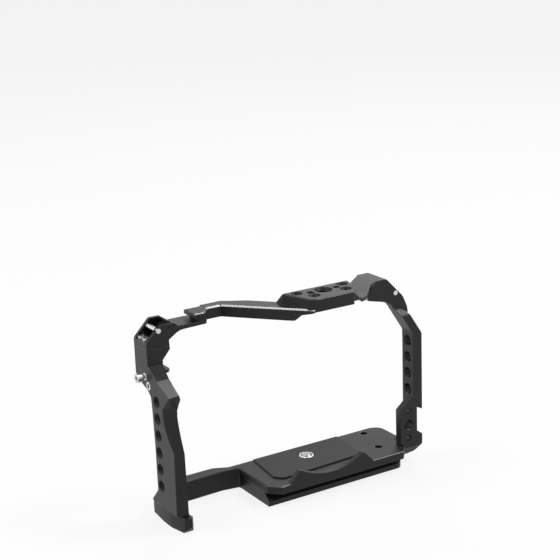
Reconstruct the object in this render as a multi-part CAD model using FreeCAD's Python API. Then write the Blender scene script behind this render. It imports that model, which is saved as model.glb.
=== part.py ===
import FreeCAD, Part
import math
import os

vec = FreeCAD.Vector

# Camera cage: an open metal frame that closes round a mirrorless camera body.
# Millimetres. X runs along the camera's width, Y from the lens side to the
# screen side, Z up. While the pieces are made, X = 0 is the middle of the
# frame, Y = 0 the row of side threads and Z = 0 the table.

# Accessory threads: tapped 1/4-20 holes and the pin holes beside one
quarterThreadRadius = 2.6
threadChamfer = 0.65
locatingRadius = 1.7
locatingOffset = 7.9

# Frame and base
frameWidth = 153.0
plateTop = 11.1
plateThickness = 4.3
baseLeft = -24.5
baseFront = -21.2
baseBack = 17.5
baseRight = 69.2
baseCorner = 6.0
padHeight = 0.9
padLeft = -16.0
padRight = 38.5
padFront = -12.6
seatGap = 0.3
plateHoleRadius = 2.0
plateHoles = [(56.4, 13.0), (51.8, -7.6)]

# Lens lip along the front of the base
lipHeight = 5.6
lipThickness = 3.0
lipLeft = -13.4
lipRight = 38.7
lipSlope = 5.8
lensRadius = 44.0

# Quick-release dovetail under the base
dovetailWidth = 38.0
dovetailRight = 62.0
flangeThickness = 2.5
tripodThreadSpacing = 44.0

# Captive camera screw and its bushing
screwX = 12.9
screwY = 4.8
screwRadius = 3.15
screwHeadRadius = 6.0
screwHeadThickness = 2.6
screwTipRise = 0.6
screwTravel = 4.5
bushingRadius = 4.2
bushingBore = 3.25
washerThickness = 0.5
runningGap = 0.05

# Arm from the base to the grip side
armFront = 14.6
armBack = 21.3
footHeight = 8.0

# Grip side frame
gripThickness = 6.0
gripInset = 5.1
gripFront = -18.4
gripBack = 4.4
seamHeight = 76.7
gripThreads = 6
gripThreadStart = 19.2
sideThreadPitch = 9.0

# Strap brackets
bracketFront = 7.5
bracketBack = 21.5
bracketWall = 2.0
bracketWidth = 12.7
blockTop = 88.6
pocketFloor = 92.4
bracketTop = 101.2
strapPinRadius = 1.3

# Accessory shoe rail
shoeFloor = 97.8
shoeFloorThickness = 2.3
shoeFront = 8.7
shoeBack = 22.0
shoeSlotHeight = 2.1
shoeSlotWidth = 18.6
shoeMouthWidth = 12.5
railTop = 102.0

# Sloping bar and top plate
barHeight = 6.2
barRise = 3.0
topPlateTop = 108.9
topPlateThickness = 6.7
topPlateFront = -27.4
topPlateBack = -7.8
mainThreadX = 13.8
mainThreadY = -14.8
mainThreadRadius = 4.05
mainThreadChamfer = 0.85
smallThreads = [(-14.5, 2.6), (13.5, 3.0), (-9.0, -5.5), (10.3, -5.2)]

# Web and right shoulder
webThickness = 2.6
webLow = 103.5
shoulderTop = 105.6
shoulderFront = -10.0
shoulderBack = 6.5

# Right side frame
pillarFront = -14.4
pillarBack = -5.0
pillarThickness = 6.0
pillarThreads = 4
pillarThreadStart = 41.0
pillarThreadPitch = 9.25
shelfLeft = 61.8
shelfBack = -10.2
shelfTop = 31.1
frontThreadX = 67.4
frontThreadZ = 22.2
notchLow = 15.0
notchHigh = 31.2
notchDepth = 3.5

# Lug clamp on the grip side
clampThickness = 3.4
clampTabThickness = 1.6
clampFront = 8.0
clampBack = 17.5
clampReach = 13.0
clampScrewRadius = 1.25
clampScrewY = 9.9
clampTravel = 2.0
clampHeadRadius = 2.4
clampHeadHeight = 2.4
clampNeck = 3.0
lockScrewRadius = 2.2
lockScrewLength = 3.6

# Small screws
capRadius = 1.25
capHeadRadius = 2.25
capHeadHeight = 2.4
pocketScrewGrip = 5.0
flatRadius = 1.5
flatHeadRadius = 2.9
flatHeadHeight = 1.7
socketRadius = 1.1

cageLeft = -frameWidth / 2
cageRight = frameWidth / 2
bodyBottom = plateTop - plateThickness
padTop = plateTop + padHeight
bracketInner = cageLeft + bracketWidth
gripInner = cageLeft + gripThickness
pillarInner = cageRight - pillarThickness
topPlateBottom = topPlateTop - topPlateThickness
clampTop = seamHeight - runningGap
clampBottom = clampTop - clampThickness
clampScrewZ = clampBottom + clampThickness / 2
lockScrewZ = clampBottom - 0.8 - lockScrewRadius
screwTip = padTop + screwTipRise
clampStart = cageLeft + 4.6
clampShoulder = clampStart + 2.0
clampScrewEnd = clampShoulder + 0.3
clampRootBack = 2 * clampScrewY - clampFront
barFront = shoeFront + 6.2
noseFront = topPlateFront - 1.6


def place(plane, level, a, b):
    if plane == "XY":
        return vec(a, b, level)
    if plane == "XZ":
        return vec(a, level, b)
    return vec(level, a, b)


def outline(plane, level, corners):
    """Closed wire through corners (a, b) or (a, b, radius) in one plane."""
    count = len(corners)
    starts = []
    ends = []
    middles = []
    for i in range(count):
        here = place(plane, level, corners[i][0], corners[i][1])
        radius = corners[i][2] if len(corners[i]) > 2 else 0.0
        before = place(plane, level, corners[i - 1][0], corners[i - 1][1])
        after = place(plane, level, corners[(i + 1) % count][0], corners[(i + 1) % count][1])
        if radius == 0.0:
            starts.append(here)
            ends.append(here)
            middles.append(None)
            continue
        back = (before - here).normalize()
        ahead = (after - here).normalize()
        half = back.getAngle(ahead) / 2
        reach = radius / math.tan(half)
        bisector = (back + ahead).normalize()
        starts.append(here + back * reach)
        ends.append(here + ahead * reach)
        middles.append(here + bisector * (radius / math.sin(half) - radius))
    edges = []
    for i in range(count):
        if middles[i] is not None:
            edges.append(Part.Arc(starts[i], middles[i], ends[i]).toShape())
        nextStart = starts[(i + 1) % count]
        if (nextStart - ends[i]).Length > 1e-6:
            edges.append(Part.LineSegment(ends[i], nextStart).toShape())
    return Part.Wire(edges)


def slab(plane, low, high, corners):
    """Outline extruded between two levels along the plane's normal."""
    face = Part.Face(outline(plane, low, corners))
    span = place(plane, high, 0, 0) - place(plane, low, 0, 0)
    return face.extrude(span)


def box(xLow, xHigh, yLow, yHigh, zLow, zHigh):
    return Part.makeBox(xHigh - xLow, yHigh - yLow, zHigh - zLow, vec(xLow, yLow, zLow))


def rod(radius, start, end):
    span = end - start
    return Part.makeCylinder(radius, span.Length, start, span)


def thread(radius, chamfer, start, end):
    """Threaded hole as a bore with a countersink at both mouths."""
    span = end - start
    way = vec(span).normalize()
    tool = rod(radius, start - way, end + way)
    tool = tool.fuse(Part.makeCone(radius + chamfer, radius, chamfer, start, way))
    return tool.fuse(Part.makeCone(radius, radius + chamfer, chamfer, end - way * chamfer, way))


def rimChamfer(shape, size, level):
    """Chamfer every edge that lies in the horizontal plane at this level."""
    rim = []
    for edge in shape.Edges:
        bounds = edge.BoundBox
        if abs(bounds.ZMin - level) < 1e-4 and abs(bounds.ZMax - level) < 1e-4:
            rim.append(edge)
    return shape.makeChamfer(size, rim)


def capScrew(head, way, shank):
    """Socket cap screw: head is the top centre, way points down the shank."""
    body = rod(capHeadRadius, head, head + way * capHeadHeight)
    body = body.fuse(rod(capRadius, head + way * capHeadHeight, head + way * (capHeadHeight + shank)))
    return body.cut(rod(socketRadius, head - way, head + way * (capHeadHeight * 0.6)))


def flatScrew(head, way, length):
    """Countersunk screw with a socket, flush with the face at head."""
    body = Part.makeCone(flatHeadRadius, flatRadius, flatHeadHeight, head, way)
    body = body.fuse(rod(flatRadius, head + way * flatHeadHeight, head + way * length))
    return body.cut(rod(socketRadius, head - way, head + way * (flatHeadHeight * 0.7)))


def flatSeat(head, way, length):
    """Hole for a countersunk screw."""
    seat = Part.makeCone(flatHeadRadius + runningGap, flatRadius + runningGap, flatHeadHeight, head, way)
    return seat.fuse(rod(flatRadius + runningGap, head - way * 0.01, head + way * (length + 0.2)))


up = vec(0, 0, 1)
right = vec(1, 0, 0)
back = vec(0, 1, 0)

dovetailFront = baseFront + 4.2
dovetailBack = dovetailFront + dovetailWidth
dovetailScrewSpots = [
    (baseLeft + 8.0, dovetailFront + 9.0),
    (baseLeft + 8.0, dovetailBack - 9.0),
    (dovetailRight - 8.0, dovetailFront + 9.0),
    (dovetailRight - 8.0, dovetailBack - 9.0),
]
footScrewSpots = [(cageLeft + 3.6, -9.5), (cageLeft + 3.6, -1.0)]
pocketScrewSpots = [(cageLeft + 3.2, bracketBack - 8.3), (cageLeft + 3.2, bracketBack - 3.6)]
pillarScrewSpots = [pillarFront + 2.6, pillarBack - 2.4]
armSeat = [(cageRight - 17.0, shoulderTop - 14.3), (cageRight - 8.6, shoulderTop - 19.1)]
shoulderScrewX = cageRight - 10.9
shoulderScrewY = pillarBack - 1.7
shoulderScrewLength = 8.2
shoulderScrewSeat = shoulderTop - 13.0
setScrewY = shoulderFront + 1.8
setScrewZ = shoulderTop - 8.4
setScrewTip = cageRight - 32.9


def basePlate():
    """Milled base: plate over the dovetail, lens lip, arm and grip foot."""
    plate = slab("XY", bodyBottom, plateTop, [
        (baseLeft, armFront),
        (baseLeft, baseFront + 5.6),
        (baseLeft + 5.8, baseFront),
        (pillarInner - 12.0, baseFront),
        (pillarInner - 6.0, pillarFront - seatGap),
        (pillarInner - 6.0, pillarBack + seatGap),
        (baseRight, pillarBack + seatGap),
        (baseRight, baseBack - 2.0, baseCorner),
        (baseRight - 6.0, baseBack, 4.0),
        (baseLeft + 3.0, baseBack),
        (baseLeft + 3.0, armFront),
    ])
    plate = rimChamfer(plate, 0.4, plateTop)
    lip = slab("XZ", baseFront, baseFront + lipThickness, [
        (lipLeft, plateTop - 1.0),
        (lipLeft + 1.0, plateTop - 1.0),
        (lipRight, plateTop - 1.0),
        (lipRight, plateTop),
        (lipRight - lipSlope, plateTop + lipHeight, 0.6),
        (lipLeft + lipSlope, plateTop + lipHeight, 0.6),
        (lipLeft, plateTop),
    ])
    lensX = (lipLeft + lipRight) / 2
    halfMouth = (lipRight - lipLeft) / 2 - lipSlope - 0.8
    lensZ = plateTop + lipHeight + math.sqrt(lensRadius ** 2 - halfMouth ** 2)
    lens = rod(lensRadius, vec(lensX, baseFront - 5, lensZ), vec(lensX, baseFront + lipThickness + 0.5, lensZ))
    arm = slab("XY", 0, plateTop, [
        (cageLeft + 1.2, armFront - 1.3),
        (baseLeft - 10.0, armFront),
        (baseLeft, armFront - 1.6, 1.4),
        (baseLeft, armFront - 6.0),
        (baseLeft + 3.0, armFront - 6.0),
        (baseLeft + 3.0, baseBack),
        (baseLeft - 4.0, baseBack),
        (baseLeft - 11.5, armBack, 6.0),
        (cageLeft + 8.0, armBack, 3.0),
        (cageLeft + 1.2, armFront - 0.6),
    ])
    arm = arm.cut(box(baseLeft, baseRight, dovetailFront - 5, dovetailBack + 5, -1, bodyBottom))
    arm = rimChamfer(arm, 0.4, plateTop)
    foot = slab("XY", 0, footHeight, [
        (cageLeft + 1.2, armFront - 1.3, 1.0),
        (cageLeft, -0.3),
        (cageLeft, -8.1, 12.0),
        (cageLeft + 2.2, gripFront - 0.6, 1.0),
        (gripInner + 0.4, gripFront - 2.6),
        (gripInner + 3.6, gripFront + 2.2),
        (gripInner + 3.6, armFront - 1.0),
        (gripInner + 3.6, armFront + 2.0),
    ])
    tip = slab("YZ", cageLeft - 1, gripInner + 8, [
        (gripFront - 8.0, -1.0),
        (gripFront + 1.4, -1.0),
        (gripFront - 2.8, 3.6),
        (gripFront - 8.0, 3.6),
    ])
    foot = foot.cut(tip)
    body = plate.fuse([lip, arm, foot]).cut(lens)
    body = body.removeSplitter()
    for spot in plateHoles:
        hole = thread(plateHoleRadius, 0.3, vec(spot[0], spot[1], bodyBottom), vec(spot[0], spot[1], plateTop))
        body = body.cut(hole)
    bore = rod(bushingRadius, vec(screwX, screwY, bodyBottom - 1), vec(screwX, screwY, plateTop + 1))
    body = body.cut(bore)
    headRoom = bodyBottom - (dovetailHeadTop() + screwTravel + washerThickness)
    if headRoom < 0:
        body = body.cut(rod(screwHeadRadius + 0.6, vec(screwX, screwY, bodyBottom - 1), vec(screwX, screwY, bodyBottom - headRoom + seatGap)))
    for spot in footScrewSpots:
        body = body.cut(flatSeat(vec(spot[0], spot[1], 0), up, 20))
    for spot in dovetailScrewSpots:
        body = body.cut(rod(flatRadius, vec(spot[0], spot[1], bodyBottom - 1), vec(spot[0], spot[1], bodyBottom + 2.6)))
    for y in pillarScrewSpots:
        end = vec(pillarInner - 12, y, bodyBottom + 2.1)
        body = body.cut(rod(capRadius, end, end + right * 12))
    return body


def dovetailHeadTop():
    """Top of the lowered screw's head."""
    return 0.6 + screwHeadThickness


def dovetailPlate():
    """Quick-release dovetail with tripod threads, screwed under the base."""
    lean = bodyBottom - flangeThickness
    rail = slab("YZ", baseLeft, dovetailRight, [
        (dovetailFront, 0),
        (dovetailFront, flangeThickness),
        (dovetailFront + lean, bodyBottom),
        (dovetailBack - lean, bodyBottom),
        (dovetailBack, flangeThickness),
        (dovetailBack, 0),
    ])
    ends = slab("XY", -1, bodyBottom + 1, [
        (baseLeft, dovetailFront),
        (dovetailRight, dovetailFront, 5.0),
        (dovetailRight, dovetailBack, 5.0),
        (baseLeft, dovetailBack),
    ])
    rail = rail.common(ends)
    rail = rail.cut(rod(screwHeadRadius + 0.6, vec(screwX, screwY, -1), vec(screwX, screwY, bodyBottom + 1)))
    for side in (-0.5, 0.5):
        x = screwX + side * tripodThreadSpacing
        rail = rail.cut(thread(quarterThreadRadius, threadChamfer, vec(x, screwY, 0), vec(x, screwY, bodyBottom)))
    for spot in dovetailScrewSpots:
        rail = rail.cut(flatSeat(vec(spot[0], spot[1], 0), up, 20))
    return rail


def dovetailScrews():
    screws = []
    for spot in dovetailScrewSpots:
        screws.append(flatScrew(vec(spot[0], spot[1], 0), up, bodyBottom + 2.4))
    return Part.makeCompound(screws)


def basePad():
    """Soft pad that the camera's underside rests on."""
    pad = slab("XY", plateTop, padTop, [
        (padLeft + 2.4, baseBack - 1.0),
        (padLeft - 0.5, padFront + 3.6, 2.0),
        (padLeft + 3.0, padFront - 1.0, 2.0),
        (padRight, padFront + 1.3, 2.0),
        (padRight + 2.0, baseBack - 1.0),
    ])
    pad = rimChamfer(pad, 0.25, padTop)
    return pad.cut(rod(bushingRadius + seatGap, vec(screwX, screwY, plateTop - 1), vec(screwX, screwY, padTop + 1)))


def screwBushing():
    """Steel ring in the base that guides the camera screw."""
    low = dovetailHeadTop() + screwTravel + washerThickness + seatGap
    low = max(low, bodyBottom)
    ring = rod(bushingRadius, vec(screwX, screwY, low), vec(screwX, screwY, padTop))
    ring = rimChamfer(ring, 0.3, padTop)
    return ring.cut(rod(bushingBore, vec(screwX, screwY, 0), vec(screwX, screwY, padTop + 1)))


def cameraScrew():
    """Slotted camera screw, drawn lowered."""
    low = vec(screwX, screwY, 0.6)
    headTop = vec(screwX, screwY, dovetailHeadTop())
    body = rod(screwHeadRadius, low, headTop)
    body = body.fuse(rod(screwRadius, headTop, vec(screwX, screwY, screwTip)))
    body = rimChamfer(body, 0.8, screwTip)
    slot = box(screwX - 0.9, screwX + 0.9, screwY - 10, screwY + 10, 0, 2.0)
    return body.cut(slot)


def cameraScrewWasher():
    low = vec(screwX, screwY, dovetailHeadTop() + 0.02)
    ring = rod(screwHeadRadius, low, low + up * washerThickness)
    return ring.cut(rod(screwRadius + runningGap, low - up, low + up * 3))


def gripProfile(frontShift, topShift):
    """Side outline of the grip frame as (y, z), its front moved back."""
    holeTop = gripThreadStart + (gripThreads - 1) * sideThreadPitch
    nose = gripFront + 1.1 + frontShift
    return [
        (gripBack + 6.2, footHeight),
        (gripFront + frontShift, footHeight),
        (gripFront + 0.4 + frontShift, holeTop - 22.2),
        (gripFront + 5.0 + frontShift, holeTop - 9.0, 30.0),
        (gripFront + 6.0 + frontShift, holeTop - 2.4, 8.0),
        (nose, holeTop + 5.4, 1.6),
        (gripFront + 4.6 + frontShift, holeTop + 7.3 - topShift, 1.5),
        (bracketFront - 8.5, seamHeight - 1.0 - topShift, 20.0),
        (bracketFront, seamHeight + 4.6 - topShift),
        (bracketFront, seamHeight),
        (bracketBack, seamHeight),
        (bracketBack, seamHeight - 3.0),
        (bracketBack - 5.0, seamHeight - 6.5),
        (gripBack + 4.6, seamHeight - 9.3),
        (gripBack + 1.0, seamHeight - 13.5, 5.0),
        (gripBack, gripThreadStart + 6.0),
        (gripBack, gripThreadStart - 5.0),
    ]


def gripSideFrame():
    """Upright on the grip side: bevelled front, finger recess, side threads."""
    outer = outline("YZ", cageLeft, gripProfile(5.4, 0.8))
    inner = outline("YZ", cageLeft + gripInset, gripProfile(0.0, 0.0))
    body = Part.makeLoft([outer, inner], True, True)
    body = body.fuse(slab("YZ", cageLeft + gripInset, gripInner, gripProfile(0.0, 0.0)))
    shoulder = slab("YZ", gripInner, gripInner + 2.6, gripProfile(0.0, 0.0))
    keep = slab("XY", seamHeight - 16.0, seamHeight + 20.0, [
        (gripInner - 1.0, bracketBack),
        (gripInner - 1.0, gripFront + 4.0),
        (gripInner, gripFront + 4.0),
        (gripInner + 2.1, bracketFront),
        (gripInner + 2.1, bracketBack),
    ])
    under = slab("YZ", gripInner - 2, gripInner + 5, [
        (gripFront - 5, seamHeight - 17.0),
        (gripFront - 5, seamHeight - 8.4),
        (gripFront + 4, seamHeight - 8.4),
        (bracketFront, seamHeight - 1.5),
        (bracketBack - 4.0, seamHeight - 6.5),
        (bracketBack + 5, seamHeight - 6.5),
        (bracketBack + 5, seamHeight - 17.0),
    ])
    shoulder = shoulder.common(keep).cut(under)
    body = body.fuse(shoulder).removeSplitter()
    for i in range(gripThreads):
        z = gripThreadStart + i * sideThreadPitch
        body = body.cut(thread(quarterThreadRadius, threadChamfer, vec(cageLeft, 0, z), vec(gripInner, 0, z)))
    channelFloor = clampBottom - runningGap
    narrow = clampStart - clampTravel - 0.2
    wide = clampShoulder - clampTravel - 0.1
    body = body.cut(box(narrow, bracketInner, clampFront - runningGap, clampRootBack + runningGap, channelFloor, seamHeight + 1))
    body = body.cut(box(wide, bracketInner, clampFront - runningGap, clampBack + runningGap, channelFloor, seamHeight + 1))
    neck = vec(cageLeft - 1, clampScrewY, clampScrewZ)
    body = body.cut(rod(clampScrewRadius + runningGap, neck, neck + right * 5))
    lock = vec(cageLeft - 1, bracketFront + 0.6, lockScrewZ)
    body = body.cut(rod(lockScrewRadius + runningGap, lock, lock + right * (lockScrewLength + 1 + seatGap)))
    for spot in footScrewSpots:
        hole = vec(spot[0], spot[1], footHeight)
        body = body.cut(rod(flatRadius, hole - up, hole + up * 7))
    for spot in pocketScrewSpots:
        hole = vec(spot[0], spot[1], seamHeight)
        body = body.cut(rod(capRadius, hole - up * pocketScrewGrip, hole + up))
    return body


def strapBlock():
    """Middle of the grip-side bracket, between the clamp and the top frame."""
    block = slab("XZ", bracketFront, bracketBack, [
        (cageLeft, seamHeight),
        (gripInner + 2.6, seamHeight),
        (gripInner + 2.6, seamHeight + 5.6),
        (bracketInner + 0.2, blockTop - 1.3),
        (bracketInner + 0.1, blockTop),
        (cageLeft, blockTop),
    ])
    for spot in pocketScrewSpots:
        hole = vec(spot[0], spot[1], seamHeight)
        block = block.cut(rod(capRadius + runningGap, hole - up, hole + up * 20))
    return block


def strapPocket(sign, wall, y1, y2, floor):
    """Opening of a strap bracket, towards the side and upwards."""
    return slab("XZ", y1, y2, [
        (wall + sign * 30, floor),
        (wall, floor, 1.0),
        (wall, floor + 2.5),
        (wall - sign * 3.4, floor + 6.0),
        (wall - sign * 3.4, floor + 30.0),
        (wall + sign * 30, floor + 30.0),
    ])


def leftBracket():
    front = slab("XZ", bracketFront, bracketFront + bracketWall, [
        (cageLeft, blockTop),
        (bracketInner + 0.1, blockTop),
        (bracketInner, blockTop + 2.7),
        (bracketInner, bracketTop - 2.0),
        (bracketInner + 2.8, bracketTop - 1.3),
        (bracketInner + 2.8, bracketTop),
        (cageLeft + 8.4, bracketTop, 1.5),
        (cageLeft, pocketFloor, 1.5),
    ])
    rest = slab("XZ", bracketFront + bracketWall, bracketBack, [
        (cageLeft, blockTop),
        (bracketInner + 0.1, blockTop),
        (bracketInner, blockTop + 2.7),
        (bracketInner + 6.6, shoeFloor - shoeFloorThickness),
        (bracketInner + 6.6, shoeFloor),
        (bracketInner + 1.6, bracketTop),
        (cageLeft + 8.4, bracketTop, 1.5),
        (cageLeft, pocketFloor, 1.5),
    ])
    return front.fuse(rest)


def shoeRail():
    """Floor of the accessory shoe and the block with its overhanging lip."""
    shoeMouthLeft = bracketInner + 2.8
    mouthRight = shoeMouthLeft + shoeMouthWidth
    slotRight = shoeMouthLeft - (shoeSlotWidth - shoeMouthWidth) / 2 + shoeSlotWidth
    floor = slab("XZ", shoeFront, shoeBack, [
        (bracketInner - 2.0, blockTop + 3.4),
        (bracketInner, blockTop + 2.7),
        (bracketInner + 6.6, shoeFloor - shoeFloorThickness, 7.0),
        (slotRight + 7.0, shoeFloor - shoeFloorThickness + 0.5),
        (slotRight + 7.0, shoeFloor),
        (bracketInner - 2.0, shoeFloor),
    ])
    block = box(slotRight, slotRight + 7.0, shoeFront, shoeBack - 1.5, shoeFloor - 1.0, railTop)
    lip = slab("XY", shoeFloor + shoeSlotHeight, railTop, [
        (mouthRight, shoeBack - 1.5),
        (mouthRight, shoeFront - 0.3),
        (slotRight + 2.4, shoeFront - 0.3),
        (slotRight + 7.0, barFront),
        (slotRight + 7.0, shoeBack - 1.5),
    ])
    trim = slab("XY", shoeFloor - 0.5, railTop + 1, [
        (slotRight + 2.4, shoeFront - 2.0),
        (slotRight + 9.0, shoeFront - 2.0),
        (slotRight + 9.0, barFront + 2.0),
    ])
    body = floor.fuse([block.cut(trim), rimChamfer(lip, 0.4, railTop)])
    return body, slotRight


def slopingBar(start):
    """Bar from the shoe rail to the top plate, rising to its sharp nose."""
    kneeFront = start + 8.6
    path = [
        (start, barFront),
        (kneeFront, barFront),
        (kneeFront + 14.2, topPlateBack + 4.2),
        (topPlateNoseX() - 1.4, noseFront + 0.4),
        (topPlateNoseX(), noseFront),
        (topPlateNoseX() + 1.6, noseFront + 1.2),
        (topPlateNoseX() - 1.2, topPlateFront + 5.4),
        (topPlateLeft(), topPlateBack),
        (topPlateLeft() - 4.3, topPlateBack + 14.8),
        (kneeFront + 3.8, armBack),
        (start, armBack),
    ]
    low = railTop - barHeight
    bar = slab("XY", low, railTop + barRise + 4.0, path)
    run = math.hypot(topPlateNoseX() - kneeFront, noseFront - barFront)
    wayX = (topPlateNoseX() - kneeFront) / run
    wayY = (noseFront - barFront) / run
    lid = Part.Face(Part.makePolygon([
        vec(0, 0, railTop),
        vec(run + 30, 0, railTop + barRise * (run + 30) / run),
        vec(run + 30, 0, railTop + 40),
        vec(-80, 0, railTop + 40),
        vec(-80, 0, railTop),
        vec(0, 0, railTop),
    ])).extrude(vec(0, 200, 0))
    lid.translate(vec(0, -100, 0))
    lid.rotate(vec(0, 0, 0), up, math.degrees(math.atan2(wayY, wayX)))
    lid.translate(vec(kneeFront, barFront, 0))
    bar = bar.cut(lid)
    under = slab("XZ", noseFront - 5, topPlateBack + 6, [
        (topPlateNoseX() - 13.0, low - 1),
        (topPlateNoseX() - 12.5, low + 0.6),
        (topPlateNoseX() - 8.0, topPlateBottom),
        (topPlateNoseX() + 20.0, topPlateBottom),
        (topPlateNoseX() + 20.0, low - 1),
    ])
    return bar.cut(under)


def topPlateLeft():
    return mainThreadX - 20.4


def topPlateNoseX():
    return mainThreadX - 13.4


def topPlate():
    """Accessory plate: central thread, locating holes and small threads."""
    left = topPlateLeft()
    body = slab("XY", topPlateBottom, topPlateTop, [
        (left, topPlateBack),
        (left + 5.3, topPlateFront + 2.4, 2.0),
        (left + 8.0, topPlateFront, 1.0),
        (mainThreadX + 10.4, topPlateFront, 1.0),
        (mainThreadX + 17.7, mainThreadY),
        (mainThreadX + 19.5, topPlateBack),
    ])
    body = rimChamfer(body, 0.5, topPlateTop)
    slope = slab("XY", topPlateBottom, topPlateTop - 5.0, [
        (left - 5.0, topPlateBack + 6.0),
        (left - 5.6, topPlateFront + 3.5),
        (left - 1.0, topPlateFront),
        (mainThreadX + 15.0, topPlateFront),
        (mainThreadX + 20.0, topPlateFront + 3.3),
        (mainThreadX + 23.9, topPlateFront + 7.1),
        (mainThreadX + 19.5, topPlateBack),
        (left, topPlateBack),
    ])
    slope = slope.cut(box(mainThreadX + 10, mainThreadX + 40, -60, 60, webLow, topPlateTop + 5))
    ramp = slab("XZ", topPlateFront + 4.0, topPlateBack, [
        (left - 3.0, topPlateTop - 5.0),
        (left + 6.0, topPlateTop - 5.0),
        (left + 6.0, topPlateTop - 0.3),
    ])
    body = body.fuse([slope, ramp.common(box(left - 6, left + 6, topPlateFront, topPlateBack, 90, 120))])
    low = topPlateBottom - 1
    main = vec(mainThreadX, mainThreadY, topPlateBottom)
    body = body.cut(thread(mainThreadRadius, mainThreadChamfer, main, main + up * topPlateThickness))
    for side in (-1, 1):
        pin = vec(mainThreadX + side * locatingOffset, mainThreadY, topPlateTop)
        body = body.cut(thread(locatingRadius, 0.3, pin - up * 5.0, pin))
    for spot in smallThreads:
        top = vec(mainThreadX + spot[0], mainThreadY + spot[1], topPlateTop)
        body = body.cut(thread(quarterThreadRadius, threadChamfer, vec(top.x, top.y, topPlateBottom), top))
    return body


def webAndShoulder():
    """Dished web from the top plate to the right strap bracket."""
    webBack = [(mainThreadX + 19.5, topPlateBack), (mainThreadX + 38.5, 6.2)]
    web = slab("XY", webLow - webThickness, shoulderTop + 0.2, [
        (mainThreadX + 19.0, topPlateBack),
        (mainThreadX + 16.0, topPlateFront + 1.5),
        (mainThreadX + 20.0, topPlateFront + 3.3),
        (mainThreadX + 23.9, topPlateFront + 7.1),
        (mainThreadX + 31.2, topPlateFront + 15.4),
        (mainThreadX + 36.5, shoulderFront),
        (mainThreadX + 36.5, shoulderBack),
        (mainThreadX + 27.5, shoulderBack - 6.2),
    ])
    dish = slab("XZ", -60, 60, [
        (mainThreadX + 10.0, webLow - webThickness - 5),
        (mainThreadX + 10.0, webLow - webThickness),
        (mainThreadX + 22.0, webLow - webThickness),
        (mainThreadX + 36.5, shoulderTop - webThickness),
        (mainThreadX + 36.5, webLow - webThickness - 5),
    ])
    above = slab("XZ", -60, 60, [
        (mainThreadX + 10.0, webLow),
        (mainThreadX + 22.0, webLow, 6.0),
        (mainThreadX + 35.8, shoulderTop),
        (mainThreadX + 37.0, shoulderTop + 5),
        (mainThreadX + 10.0, shoulderTop + 5),
    ])
    web = web.cut(dish).cut(above)
    shoulder = slab("XZ", shoulderFront, shoulderBack, [
        (cageRight - 31.0, shoulderTop - 10.0),
        (cageRight - 20.4, shoulderTop - 12.5),
        armSeat[0],
        armSeat[1],
        (cageRight - 5.7, shoulderTop - 20.8),
        (cageRight - 6.3, shoulderTop - 17.2, 2.0),
        (cageRight - 9.0, shoulderTop - 11.1, 6.0),
        (cageRight - 19.6, shoulderTop, 1.0),
        (mainThreadX + 35.8, shoulderTop),
        (cageRight - 31.6, shoulderTop - 7.2),
    ])
    pocket = slab("XZ", shoulderFront + bracketWall, shoulderBack - bracketWall, [
        (cageRight - 3.0, shoulderTop - 14.0),
        (cageRight - 18.0, shoulderTop - 9.6, 1.5),
        (cageRight - 18.0, shoulderTop + 3),
        (cageRight + 3.0, shoulderTop + 3),
    ])
    return web.fuse(shoulder.cut(pocket))


def strapPin(x, y1, y2, z):
    return rod(strapPinRadius, vec(x, y1, z), vec(x, y2, z))


leftPinX = cageLeft + 7.2
leftPinZ = bracketTop - 3.6
rightPinX = cageRight - 13.7
rightPinZ = shoulderTop - 8.6


def topFrame():
    """Top half of the cage, one milled piece from bracket to bracket."""
    rail, railEnd = shoeRail()
    body = leftBracket().fuse([rail, slopingBar(railEnd + 7.0), topPlate(), webAndShoulder()])
    body = body.cut(strapPocket(-1, bracketInner - 2.4, bracketFront + bracketWall, bracketBack - bracketWall, pocketFloor))
    body = body.cut(strapPin(leftPinX, bracketFront - 1, bracketBack + 1, leftPinZ))
    body = body.cut(strapPin(rightPinX, shoulderFront - 1, shoulderBack + 1, rightPinZ))
    for spot in pocketScrewSpots:
        seat = vec(spot[0], spot[1], pocketFloor - 1.2)
        body = body.cut(rod(capRadius + runningGap, seat - up * 10, seat + up))
        body = body.cut(rod(capHeadRadius + runningGap, seat, seat + up * 4))
    seat = vec(shoulderScrewX, shoulderScrewY, shoulderScrewSeat)
    body = body.cut(rod(capRadius + runningGap, seat - up * 12, seat + up))
    body = body.cut(rod(capHeadRadius + runningGap, seat, seat + up * 5))
    tip = vec(setScrewTip, setScrewY, setScrewZ)
    body = body.cut(rod(capRadius + runningGap, tip, tip + right * 17))
    return body.removeSplitter()


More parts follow.
